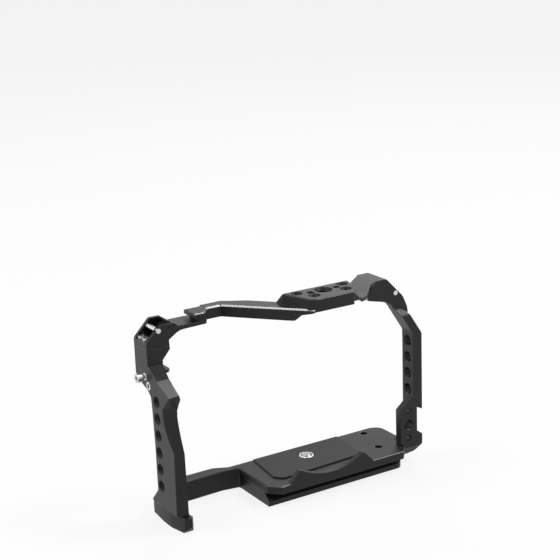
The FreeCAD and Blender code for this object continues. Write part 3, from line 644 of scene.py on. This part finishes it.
def tappedBore(radius, flare, start, end):
    length = (end - start).length
    way = (end - start).normalized()
    wide = radius + flare
    return turned(start, way, [
        (-1, wide), (0, wide), (flare, radius),
        (length - flare, radius), (length, wide), (length + 1, wide),
    ])


def quarterBore(start, end):
    return tappedBore(cage["quarterThread"], cage["quarterFlare"], start, end)


# Joins the tools to the base, cuts them away or keeps what is shared, and drops the tools.
def shape(base, operation, *tools):
    for tool in tools:
        step = base.modifiers.new("shape", "BOOLEAN")
        step.operation = operation
        step.solver = "EXACT"
        step.object = tool
    shaped = base.evaluated_get(bpy.context.evaluated_depsgraph_get())
    result = bpy.data.meshes.new_from_object(shaped)
    base.modifiers.clear()
    base.data = result
    for tool in tools:
        bpy.data.objects.remove(tool)
    return base


# A wedge that cuts a chamfer along the edge between two points.
def ridgeWedge(start, end, inward, size):
    up = cage["up"]
    return solidOf("wedge", [
        [
            point - inward * size - up * (2 * size),
            point + inward * (2 * size) + up * size,
            point - inward * size + up * size,
        ]
        for point in (start, end)
    ])


# From millimetres about the cage's middle to metres in the shared frame.
def toFrame(mesh):
    mesh.transform(Matrix.Translation(cage["middle"]))
    mesh.transform(Matrix.Scale(cage["millimetre"], 4))


def settle(piece, name, node, *materialNames):
    piece.name = name
    toFrame(piece.data)
    mesh = bmesh.new()
    mesh.from_mesh(piece.data)
    bmesh.ops.remove_doubles(mesh, verts=mesh.verts, dist=cage["weldReach"])
    bmesh.ops.triangulate(mesh, faces=mesh.faces)
    mesh.to_mesh(piece.data)
    mesh.free()
    piece.data.shade_smooth()
    piece.data.set_sharp_from_angle(angle=math.radians(cage["sharpAngle"]))
    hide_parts(node)
    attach(piece, "frame")
    for materialName in materialNames:
        piece.data.materials.append(blacks[materialName])


# The upright on the grip side: bevelled front with a finger recess, six side threads.
grip = {
    "thickness": 5.2,
    "inset": 5.0,
    "shelf": 3.4,
    "front": -18.2,
    "back": 4.4,
    "foot": 8.0,
    "threads": 6,
    "threadStart": 19.2,
    "threadPitch": 9.0,
    "clampFront": 8.0,
    "clampBack": 17.5,
    "clampRootBack": 11.8,
    "clampDrop": 3.5,
    "clampScrew": (9.9, 74.95),
    "lockScrew": (8.1, 70.25),
    "lockRadius": 2.2,
    "outerFront": (
        (3.0, -56.2), (2.1, -22.5), (6.0, -18.1), (9.2, -13.6), (11.1, -9.7), (11.9, -5.6),
        (11.9, -1.6), (8.0, 2.3), (4.3, 5.9), (7.1, 7.4), (16.4, 11.2), (25.7, 16.5),
    ),
    "innerFront": (
        (0.0, -56.2), (1.0, -22.9), (2.8, -18.2), (4.4, -13.9), (5.8, -9.2), (6.5, -5.2),
        (6.3, -1.8), (4.4, 1.6), (2.2, 4.9), (3.2, 6.8), (16.7, 11.2), (25.7, 16.5),
    ),
}


def gripLevels():
    return [grip["threadStart"] + i * grip["threadPitch"] for i in range(grip["threads"])]


# A side view of the upright; the front is given from the topmost thread.
def gripOutline(front):
    seam = cage["seam"]
    highest = gripLevels()[-1]
    return [(grip["front"] + y, highest + z) for y, z in front] + [
        (cage["bracketFront"], seam),
        (cage["bracketBack"], seam),
        (cage["bracketBack"], seam - 3.0),
        (cage["bracketBack"] - 5.0, seam - 6.4),
        (grip["back"] + 4.8, seam - 8.8),
        (grip["back"] + 1.6, seam - 11.4),
        (grip["back"] + 0.9, seam - 17.0),
        (grip["back"], grip["threadStart"] + 20.0),
        (grip["back"], grip["threadStart"] - 3.5),
        (grip["back"] + 7.2, grip["foot"]),
    ]


def makeGrip():
    left, seam, gap = cage["left"], cage["seam"], cage["gap"]
    inner = left + grip["thickness"]
    rings = [
        ringOf("YZ", left, gripOutline(grip["outerFront"])),
        ringOf("YZ", left + grip["inset"], gripOutline(grip["innerFront"])),
        ringOf("YZ", inner, gripOutline(grip["innerFront"])),
    ]
    body = solidOf("grip", rings)
    shoulder = slab("YZ", inner - 0.1, inner + grip["shelf"], gripOutline(grip["innerFront"]))
    keep = slab("XY", seam - 16.0, seam + 20.0, [
        (inner - 1.0, cage["bracketBack"] + 0.1),
        (inner - 1.0, grip["front"] + 4.0),
        (inner, grip["front"] + 4.0),
        (inner + grip["shelf"] - 0.5, cage["bracketFront"]),
        (inner + grip["shelf"] - 0.5, cage["bracketBack"] + 0.1),
    ])
    under = slab("YZ", inner - 2, inner + 5, [
        (grip["front"] - 5, seam - 17.5),
        (grip["front"] - 5, seam - 8.4),
        (grip["front"] + 4, seam - 8.4),
        (cage["bracketFront"], seam - 1.5),
        (cage["bracketBack"] - 4.0, seam - 6.5),
        (cage["bracketBack"] + 5, seam - 6.5),
        (cage["bracketBack"] + 5, seam - 17.5),
    ])
    shoulder = shape(shape(shoulder, "INTERSECT", keep), "DIFFERENCE", under)
    body = shape(body, "UNION", shoulder)
    cuts = [quarterBore(Vector((left, 0, z)), Vector((inner, 0, z))) for z in gripLevels()]
    floor = seam - gap - grip["clampDrop"]
    front, far = grip["clampFront"] - gap, cage["bracketInner"]
    rootBack, back = grip["clampRootBack"] + gap, grip["clampBack"] + gap
    cuts.append(block(left + 2.4, far, front, rootBack, floor, seam + 1))
    cuts.append(block(left + 4.5, far, front, back, floor + 0.01, seam + 1.1))
    neck = Vector((left - 1, *grip["clampScrew"]))
    cuts.append(rod(cage["capRadius"] + gap, neck, neck + cage["across"] * 5))
    lock = Vector((left - 1, *grip["lockScrew"]))
    cuts.append(rod(grip["lockRadius"] + gap, lock, lock + cage["across"] * 4.9))
    for x, y in cage["pocketScrews"]:
        hole = Vector((x, y, seam))
        cuts.append(rod(cage["capRadius"], hole - cage["up"] * 5, hole + cage["up"]))
    return shape(body, "DIFFERENCE", *cuts)


# The top half, one milled piece: bracket, shoe, bar, accessory plate, web and shoulder.
top = {
    "pocketFloor": 92.4,
    "bracket": 101.2,
    "frontDrop": 0.8,
    "shoeFloor": 97.8,
    "shoeFloorThickness": 2.3,
    "shoeFront": 8.7,
    "shoeBack": 22.0,
    "shoeSlotHeight": 2.1,
    "shoeSlotWidth": 18.6,
    "shoeMouthWidth": 12.5,
    "shoeBlockWidth": 7.0,
    "rail": 102.0,
    "barHeight": 6.2,
    "barRise": 1.7,
    "barWidth": 10.1,
    "barChamfer": 0.75,
    "plate": 108.9,
    "plateThickness": 6.7,
    "plateFront": -27.4,
    "plateBack": -7.8,
    "plateLeft": 20.4,
    "plateChamfer": 0.5,
    "mainThread": (13.8, -14.8),
    "mainRadius": 4.05,
    "mainFlare": 0.85,
    "pinOffset": 7.9,
    "pinRadius": 1.7,
    "pinFlare": 0.3,
    "pinDepth": 5.0,
    "smallThreads": ((-14.5, 2.6), (13.5, 3.0), (-9.0, -5.5), (10.3, -5.2)),
    "webThickness": 2.0,
    "webLow": 104.0,
    "webRight": 50.3,
    "shoulder": 105.6,
    "shoulderFront": -10.0,
    "shoulderBack": 6.5,
    "armBack": 21.3,
    "leftPin": (-69.3, 97.6),
    "rightPin": (62.8, 97.0),
    "pinHole": 1.3,
    "shoulderScrew": (65.6, -6.7, 92.6),
    "setScrew": (43.6, -8.2, 97.2),
}


def makeLeftBracket():
    left, inner = cage["left"], cage["bracketInner"]
    frontTop = top["bracket"] - top["frontDrop"]
    wallBack = cage["bracketFront"] + cage["bracketWall"]
    front = slab("XZ", cage["bracketFront"], wallBack, [
        (left, cage["blockTop"]),
        (inner + 0.1, cage["blockTop"]),
        (inner, cage["blockTop"] + 2.7),
        (inner, frontTop - 1.5),
        (inner + 2.8, frontTop - 0.9),
        (inner + 2.8, frontTop),
        (left + 8.4, frontTop, 1.5),
        (left, top["pocketFloor"], 1.5),
    ])
    rest = slab("XZ", wallBack - 0.02, cage["bracketBack"], [
        (left, cage["blockTop"]),
        (inner + 0.1, cage["blockTop"]),
        (inner, cage["blockTop"] + 2.7),
        (inner + 6.6, top["shoeFloor"] - top["shoeFloorThickness"]),
        (inner + 6.6, top["shoeFloor"]),
        (inner + 1.6, top["bracket"]),
        (left + 8.4, top["bracket"], 1.5),
        (left, top["pocketFloor"], 1.5),
    ])
    return shape(front, "UNION", rest)


def makeShoe():
    inner, floorTop = cage["bracketInner"], top["shoeFloor"]
    mouthLeft = inner + 2.8
    mouthRight = mouthLeft + top["shoeMouthWidth"]
    overhang = (top["shoeSlotWidth"] - top["shoeMouthWidth"]) / 2
    slotRight = mouthLeft - overhang + top["shoeSlotWidth"]
    end = slotRight + top["shoeBlockWidth"]
    floor = slab("XZ", top["shoeFront"], top["shoeBack"], [
        (inner - 2.0, cage["blockTop"] + 3.4),
        (inner, cage["blockTop"] + 2.7),
        (inner + 6.6, floorTop - top["shoeFloorThickness"], 7.0),
        (end, floorTop - top["shoeFloorThickness"] + 0.5, 1.2),
        (end, floorTop),
        (inner - 2.0, floorTop),
    ])
    lipBack = top["shoeBack"] - 2.2
    barFront = top["shoeFront"] + 6.2
    riser = block(slotRight, end, top["shoeFront"], lipBack, floorTop - 1.0, top["rail"] - 0.5)
    trim = slab("XY", floorTop - 4.0, top["rail"] + 1, [
        (slotRight + 2.4, top["shoeFront"] - 2.0),
        (end + 2.0, top["shoeFront"] - 2.0),
        (end + 2.0, barFront + 2.0),
    ])
    lip = slab("XY", floorTop + top["shoeSlotHeight"], top["rail"], [
        (mouthRight, lipBack),
        (mouthRight, top["shoeFront"] - 0.3),
        (slotRight + 2.4, top["shoeFront"] - 0.3),
        (end, barFront),
        (end, lipBack),
    ], cage["chamfer"])
    body = shape(shape(floor, "UNION", riser), "DIFFERENCE", trim)
    return shape(body, "UNION", lip), end, barFront


def makeBar(start, barFront):
    up, rail = cage["up"], top["rail"]
    knee = Vector((start + 8.6, barFront, 0))
    tip = Vector((top["mainThread"][0] - 13.4, top["plateFront"], 0))
    run = (tip - knee).length
    along = (tip - knee).normalized()
    inward = Vector((-along.y, along.x, 0))
    elbow = knee + along * 10.8 + inward * top["barWidth"]
    far = tip + inward * top["barWidth"]
    low = rail - top["barHeight"]
    bar = slab("XY", low - 1, top["plate"], [
        (start - 0.05, barFront),
        (knee.x, knee.y),
        (tip.x, tip.y),
        (far.x, far.y),
        (elbow.x, elbow.y),
        (knee.x + 3.5, top["armBack"]),
        (start - 0.05, top["armBack"]),
    ])
    side = slab("XZ", -40, 40, [
        (-80, low),
        (0, low),
        (run - 15.6, low + 1.0),
        (run - 11.0, low + 1.2, 2.5),
        (run - 7.5, low + 4.4),
        (run - 1.8, low + 5.6),
        (run + 2.0, low + 7.0),
        (run + 30, low + 7.0),
        (run + 30, rail + top["barRise"]),
        (run, rail + top["barRise"]),
        (0, rail),
        (-80, rail),
    ])
    turn = Matrix.Rotation(math.atan2(along.y, along.x), 4, "Z")
    side.data.transform(Matrix.Translation(knee) @ turn)
    bar = shape(bar, "INTERSECT", side)
    kneeTop = knee + up * rail
    tipTop = tip + up * (rail + top["barRise"])
    armTop = Vector((start, barFront, rail))
    onArm = ridgeWedge(armTop, kneeTop, Vector((0, 1, 0)), top["barChamfer"])
    onRun = ridgeWedge(kneeTop, tipTop, inward, top["barChamfer"])
    return shape(bar, "DIFFERENCE", onArm, onRun)


def makeTopPlate():
    mainX, mainY = top["mainThread"]
    front, rear, high = top["plateFront"], top["plateBack"], top["plate"]
    left = mainX - top["plateLeft"]
    body = slab("XY", high - top["plateThickness"], high, [
        (left, rear),
        (left + 5.3, front + 2.4, 2.0),
        (left + 8.0, front, 1.0),
        (mainX + 10.4, front, 1.0),
        (mainX + 17.7, mainY),
        (mainX + 19.5, rear),
    ], top["plateChamfer"])
    flare = solidOf("flare", [
        ringOf("XY", high - 0.6, [
            (mainX + 6.0, front),
            (mainX + 10.4, front),
            (mainX + 17.7, mainY),
            (mainX + 19.5, rear),
            (mainX + 6.0, rear),
        ]),
        ringOf("XY", top["webLow"] - 0.5, [
            (mainX + 6.0, front),
            (mainX + 15.6, front + 1.4),
            (mainX + 21.2, mainY),
            (mainX + 22.4, rear),
            (mainX + 6.0, rear),
        ]),
    ])
    gusset = slab("YZ", left + 0.2, left + 5.3, [
        (rear - 1.0, high - 0.3),
        (rear, high - 0.3),
        (rear + 6.6, top["rail"] + 0.6),
        (rear - 1.0, top["rail"] + 0.6),
    ])
    corner = slab("XY", top["rail"], high, [
        (left + 0.2, rear - 1.0),
        (left + 5.3, rear - 1.0),
        (left + 5.3, rear),
        (left + 0.2, rear + 7.0),
    ])
    return shape(body, "UNION", flare, shape(gusset, "INTERSECT", corner))


def topPlateBores():
    mainX, mainY = top["mainThread"]
    up, high = cage["up"], top["plate"]
    under = Vector((mainX, mainY, high - top["plateThickness"]))
    main = Vector((mainX, mainY, high))
    tools = [tappedBore(top["mainRadius"], top["mainFlare"], under, main)]
    radius, flare = top["pinRadius"], top["pinFlare"]
    for side in (-1, 1):
        pin = Vector((mainX + side * top["pinOffset"], mainY, high))
        tools.append(turned(pin, -up, [
            (-1, radius + flare), (0, radius + flare), (flare, radius), (top["pinDepth"], radius),
        ]))
    for x, y in top["smallThreads"]:
        head = Vector((mainX + x, mainY + y, high))
        tools.append(quarterBore(head - up * top["plateThickness"], head))
    return tools


def makeWebAndShoulder():
    mainX, mainY = top["mainThread"]
    front, high, right = top["plateFront"], top["shoulder"], cage["right"]
    webUnder = top["webLow"] - top["webThickness"]
    end = top["webRight"]
    web = slab("XY", webUnder, high, [
        (mainX + 19.0, top["plateBack"]),
        (mainX + 16.0, front + 1.5),
        (mainX + 20.0, front + 3.3),
        (mainX + 23.9, front + 7.1),
        (mainX + 31.2, front + 15.4),
        (end, top["shoulderFront"]),
        (end, top["shoulderBack"]),
        (mainX + 27.5, top["shoulderBack"] - 6.2),
    ])
    dish = slab("XZ", -60, 60, [
        (mainX + 10.0, webUnder - 5),
        (mainX + 10.0, webUnder),
        (mainX + 22.0, webUnder),
        (end + 0.01, high - top["webThickness"]),
        (end + 0.01, webUnder - 5),
    ])
    above = slab("XZ", -60, 60, [
        (mainX + 10.0, top["webLow"]),
        (mainX + 22.0, top["webLow"], 6.0),
        (end - 0.7, high),
        (end + 0.5, high + 5),
        (mainX + 10.0, high + 5),
    ])
    web = shape(web, "DIFFERENCE", dish, above)
    shoulder = slab("XZ", top["shoulderFront"], top["shoulderBack"], [
        (right - 31.0, high - 10.0),
        (right - 20.4, high - 12.5),
        (right - 17.0, high - 14.3),
        (right - 8.6, high - 19.1),
        (right - 5.7, high - 20.8),
        (right - 6.3, high - 17.2, 2.0),
        (right - 9.0, high - 11.1, 6.0),
        (right - 19.6, high, 1.0),
        (end - 0.7, high),
        (right - 31.6, high - 7.2),
    ])
    wall = cage["bracketWall"]
    pocket = slab("XZ", top["shoulderFront"] + wall, top["shoulderBack"] - wall, [
        (right - 3.0, high - 14.0),
        (right - 18.0, high - 9.6, 1.5),
        (right - 18.0, high + 3),
        (right + 3.0, high + 3),
    ])
    return shape(web, "UNION", shape(shoulder, "DIFFERENCE", pocket))


# Room for a cap screw: its shank below the seat and its head above.
def capBore(seat, below, above):
    shank, head = cage["capRadius"] + cage["gap"], cage["capHeadRadius"] + cage["gap"]
    return turned(seat, cage["up"], [(-below, shank), (0, shank), (0.001, head), (above, head)])


def makeTopFrame():
    shoe, railEnd, barFront = makeShoe()
    body = shape(
        makeLeftBracket(), "UNION",
        shoe, makeBar(railEnd, barFront), makeTopPlate(), makeWebAndShoulder(),
    )
    cuts = topPlateBores()
    front, back, thickness = cage["bracketFront"], cage["bracketBack"], cage["bracketWall"]
    wall, floor = cage["bracketInner"] - 2.4, top["pocketFloor"]
    cuts.append(slab("XZ", front + thickness, back - thickness, [
        (wall - 30, floor),
        (wall, floor, 1.0),
        (wall, floor + 2.5),
        (wall + 3.4, floor + 6.0),
        (wall + 3.4, floor + 30.0),
        (wall - 30, floor + 30.0),
    ]))
    pins = (
        (top["leftPin"], front, back),
        (top["rightPin"], top["shoulderFront"], top["shoulderBack"]),
    )
    for (x, z), near, far in pins:
        cuts.append(rod(top["pinHole"], Vector((x, near - 1, z)), Vector((x, far + 1, z))))
    for x, y in cage["pocketScrews"]:
        cuts.append(capBore(Vector((x, y, floor - 1.2)), 10, 4))
    cuts.append(capBore(Vector(top["shoulderScrew"]), 12, 5))
    tip = Vector(top["setScrew"])
    cuts.append(rod(cage["capRadius"] + cage["gap"], tip, tip + cage["across"] * 17))
    return shape(body, "DIFFERENCE", *cuts)


# The base: plate over the dovetail, lens lip, arm and the foot under the grip.
base = {
    "top": 11.1,
    "bottom": 6.8,
    "left": -24.5,
    "right": 69.2,
    "front": -21.2,
    "frontRight": 58.5,
    "notch": (64.5, -14.7, -4.7),
    "back": 17.5,
    "armFront": 14.6,
    "lip": (-13.4, 38.7),
    "lipHeight": 6.0,
    "lipThickness": 3.0,
    "lipSlope": 5.8,
    "lensRadius": 38.0,
    "lensSegments": 120,
    "holes": ((56.4, 13.0), (51.8, -7.6)),
    "holeRadius": 2.0,
    "holeFlare": 0.3,
    "screw": (12.9, 4.8),
    "bushing": 4.2,
    "bushingSegments": 40,
    "screwHead": 6.6,
    "headRoom": 1.7,
    "footScrews": ((-72.9, -9.5), (-72.9, -1.0)),
    "footHead": 2.95,
    "footHeadRoom": 1.7,
    "footShank": 1.55,
}


def makeBase():
    high, low, chamfer = base["top"], base["bottom"], cage["chamfer"]
    left, right, outer = base["left"], base["right"], cage["left"]
    front, back, armFront = base["front"], base["back"], base["armFront"]
    notchX, notchFront, notchBack = base["notch"]
    plate = slab("XY", low, high, [
        (left, armFront),
        (left, front + 5.6),
        (left + 5.8, front),
        (base["frontRight"], front),
        (notchX, notchFront),
        (notchX, notchBack),
        (right, notchBack),
        (right, back - 2.0, 6.0),
        (right - 6.0, back, 4.0),
        (left + 3.0, back),
        (left + 3.0, armFront),
    ], chamfer)
    lipLeft, lipRight = base["lip"]
    lipTop = high + base["lipHeight"]
    lip = slab("XZ", front, front + base["lipThickness"], [
        (lipLeft, high - 1.0),
        (lipRight, high - 1.0),
        (lipRight, high),
        (lipRight - base["lipSlope"], lipTop, 0.6),
        (lipLeft + base["lipSlope"], lipTop, 0.6),
        (lipLeft, high),
    ])
    lensX = (lipLeft + lipRight) / 2
    halfMouth = (lipRight - lipLeft) / 2 - base["lipSlope"] - 0.8
    lensZ = lipTop + math.sqrt(base["lensRadius"] ** 2 - halfMouth ** 2)
    lens = turned(
        Vector((lensX, front - 5, lensZ)), Vector((0, 1, 0)),
        [(0, base["lensRadius"]), (base["lipThickness"] + 5.5, base["lensRadius"])],
        base["lensSegments"],
    )
    arm = slab("XY", 0, high, [
        (outer + 5.0, armFront - 1.3),
        (left - 10.0, armFront),
        (left, armFront - 1.6, 1.4),
        (left, armFront - 6.0),
        (left + 3.0, armFront - 6.0),
        (left + 3.0, back),
        (left - 4.0, back),
        (left - 11.5, top["armBack"], 6.0),
        (outer + 8.0, top["armBack"], 3.0),
        (outer + 5.0, armFront - 0.2),
    ], chamfer)
    arm = shape(arm, "DIFFERENCE", block(left, right, -22.0, 26.0, -1, low))
    inner = outer + grip["thickness"]
    foot = slab("XY", 0, grip["foot"], [
        (outer + 1.2, armFront - 1.3, 1.0),
        (outer, -0.3),
        (outer, -8.1, 12.0),
        (outer + 2.2, grip["front"] - 0.6, 1.0),
        (inner + 0.2, grip["front"] - 2.8),
        (inner + 2.9, grip["front"] + 1.6),
        (inner + 2.9, armFront - 1.0),
        (inner + 4.4, armFront + 2.0),
    ])
    tip = slab("YZ", outer - 1, inner + 8, [
        (grip["front"] - 8.0, -1.0),
        (grip["front"] + 1.4, -1.0),
        (grip["front"] - 2.8, 3.6),
        (grip["front"] - 8.0, 3.6),
    ])
    edge = slab("XZ", grip["front"] - 10.0, armFront - 6.0, [
        (inner + 0.6, grip["foot"]),
        (inner + 6.0, grip["foot"]),
        (inner + 6.0, grip["foot"] - 3.2),
    ])
    foot = shape(foot, "DIFFERENCE", tip, edge)
    body = shape(shape(plate, "UNION", lip, arm, foot), "DIFFERENCE", lens)
    up, room = cage["up"], base["headRoom"]
    cuts = [
        tappedBore(
            base["holeRadius"], base["holeFlare"], Vector((x, y, low)), Vector((x, y, high)),
        )
        for x, y in base["holes"]
    ]
    cuts.append(turned(Vector((*base["screw"], low)), up, [
        (-1, base["screwHead"]), (room, base["screwHead"]),
        (room + 0.001, base["bushing"]), (6, base["bushing"]),
    ], base["bushingSegments"]))
    for x, y in base["footScrews"]:
        cuts.append(turned(Vector((x, y, 0)), up, [
            (-0.01, base["footHead"]), (base["footHeadRoom"], base["footShank"]),
            (grip["foot"] + 1, base["footShank"]),
        ]))
    return shape(body, "DIFFERENCE", *cuts)


# Ridges of the tapped threads: right-handed, tapering out at both ends.
threads = {
    "coarsePitch": 1.27,
    "coarseDepth": 0.36,
    "widePitch": 1.5875,
    "wideDepth": 0.46,
    "stepsPerTurn": 20,
    "fadeSteps": 6,
    "endGap": 0.3,
    "halfWidth": 0.40,
    "sunk": 0.04,
    "wallDepth": 6.0,
    "pillarY": -9.7,
    "pillarLevels": (41.0, 50.25, 59.5, 68.75),
    "shelf": (67.4, 22.2),
    "shelfWall": (-14.4, -10.2),
}


# Cross-sections of one ridge as it winds along a bore.
def coilRings(start, end, radius, pitch, depth):
    way = (end - start).normalized()
    length = (end - start).length - pitch * (2 * threads["endGap"])
    side = way.orthogonal().normalized()
    steps = round(length / pitch * threads["stepsPerTurn"])
    foot = radius + threads["sunk"]
    rings = []
    for k in range(steps + 1):
        along = pitch * threads["endGap"] + length * k / steps
        turn = Matrix.Rotation(2 * math.pi * along / pitch, 3, way)
        fade = min(1.0, k / threads["fadeSteps"], (steps - k) / threads["fadeSteps"])
        crest = radius - depth * max(fade, 0.05)
        half = pitch * threads["halfWidth"] * max(fade, 0.2)
        rings.append([
            start + way * (along - half) + turn @ (side * foot),
            start + way * along + turn @ (side * crest),
            start + way * (along + half) + turn @ (side * foot),
        ])
    return rings


def makeThreads(name, coils):
    piece = solidOf(name, *[coilRings(*coil) for coil in coils])
    toFrame(piece.data)
    piece.data.materials.append(blacks["threadBlack"])
    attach(piece, "frame")


def quarterCoil(start, end):
    flare = (end - start).normalized() * (cage["quarterFlare"] * 0.6)
    pitch, depth = threads["coarsePitch"], threads["coarseDepth"]
    return (start + flare, end - flare, cage["quarterThread"], pitch, depth)


def placeThreads():
    left, right, y = cage["left"], cage["right"], threads["pillarY"]
    inner = left + grip["thickness"]
    makeThreads("gripThreads", [
        quarterCoil(Vector((left, 0, z)), Vector((inner, 0, z))) for z in gripLevels()
    ])
    coils = [
        quarterCoil(Vector((right - threads["wallDepth"], y, z)), Vector((right, y, z)))
        for z in threads["pillarLevels"]
    ]
    x, z = threads["shelf"]
    near, far = threads["shelfWall"]
    coils.append(quarterCoil(Vector((x, near, z)), Vector((x, far, z))))
    makeThreads("sideThreads", coils)
    mainX, mainY = top["mainThread"]
    up = cage["up"]
    drop = up * top["plateThickness"]
    coils = []
    for x, y in top["smallThreads"]:
        head = Vector((mainX + x, mainY + y, top["plate"]))
        coils.append(quarterCoil(head - drop, head))
    head = Vector((mainX, mainY, top["plate"] - 0.6))
    pitch, depth = threads["widePitch"], threads["wideDepth"]
    coils.append((head - drop + up * 0.9, head, top["mainRadius"], pitch, depth))
    makeThreads("topThreads", coils)


# Which faces of the rebuilt pieces get a painted highlight or painted shade instead of the plain
# finish: normals, and heights in metres.
picked = {
    "cutForward": -0.35,
    "cutRise": (0.55, 0.85),
    "cutHighest": 0.1080,
    "restForward": -0.2,
    "restRise": 0.85,
    "restHighest": 0.0765,
    "boreAlong": 0.95,
    "boreMargin": 0.2,
    "pinMargin": 0.4,
}


# Faces cut at a slant along the front edges: partly the brighter bare metal a cutter leaves,
# partly a painted highlight, since only faces turned forward and up towards the lamps get it.
def brightCutsAndHighlights(piece):
    low, high = picked["cutRise"]
    for face in piece.data.polygons:
        forward = face.normal.y < picked["cutForward"]
        if forward and low < face.normal.z < high and face.center.z < picked["cutHighest"]:
            face.material_index = 1


# The finger rest gets a painted highlight: a lighter grey copy of the anodised finish on its
# forward, upward faces.
def paintRestHighlight(piece):
    for face in piece.data.polygons:
        forward = face.normal.y < picked["restForward"]
        raised = face.normal.z > picked["restRise"]
        if forward and raised and face.center.z < picked["restHighest"]:
            face.material_index = 1


# Painted shade in the walls and countersinks of bores along one axis: a darker copy of the finish
# than the faces.
def paintBoreShade(piece, axis, centres, reach):
    across = [i for i in range(3) if i != axis]
    for face in piece.data.polygons:
        if abs(face.normal[axis]) >= picked["boreAlong"]:
            continue
        spot = [face.center[i] * 1000 - cage["middle"][i] for i in across]
        if any(math.dist(spot, centre) < reach for centre in centres):
            face.material_index = 2


quarterReach = cage["quarterThread"] + cage["quarterFlare"] + picked["boreMargin"]
gripPiece = makeGrip()
settle(gripPiece, "gripUpright", "grip_side_frame", "frameBlack", "restHighlight", "boreShade")
# Painted highlight on the finger rest.
paintRestHighlight(gripPiece)
# Painted shade inside the grip's side bores.
paintBoreShade(gripPiece, 0, [(0, z) for z in gripLevels()], quarterReach)
print("camera cage: grip upright shaped")

topPiece = makeTopFrame()
settle(topPiece, "topHalf", "top_frame", "frameBlack", "brightCutHighlight", "boreShade")
# Partly painted highlights on the forward and upward cut faces.
brightCutsAndHighlights(topPiece)
mainX, mainY = top["mainThread"]
smallCentres = [(mainX + x, mainY + y) for x, y in top["smallThreads"]]
pinCentres = [(mainX + side * top["pinOffset"], mainY) for side in (-1, 1)]
mainReach = top["mainRadius"] + top["mainFlare"] + picked["boreMargin"]
# Painted shade inside the bores of the top plate.
paintBoreShade(topPiece, 2, smallCentres, quarterReach)
paintBoreShade(topPiece, 2, pinCentres, top["pinRadius"] + picked["pinMargin"])
paintBoreShade(topPiece, 2, [(mainX, mainY)], mainReach)
print("camera cage: top half shaped")

basePiece = makeBase()
settle(basePiece, "baseAndFoot", "base_plate", "baseBlack", "dullCutHighlight")
# Partly painted highlights on the forward and upward cut faces.
brightCutsAndHighlights(basePiece)
placeThreads()
print("camera cage: base and threads shaped")
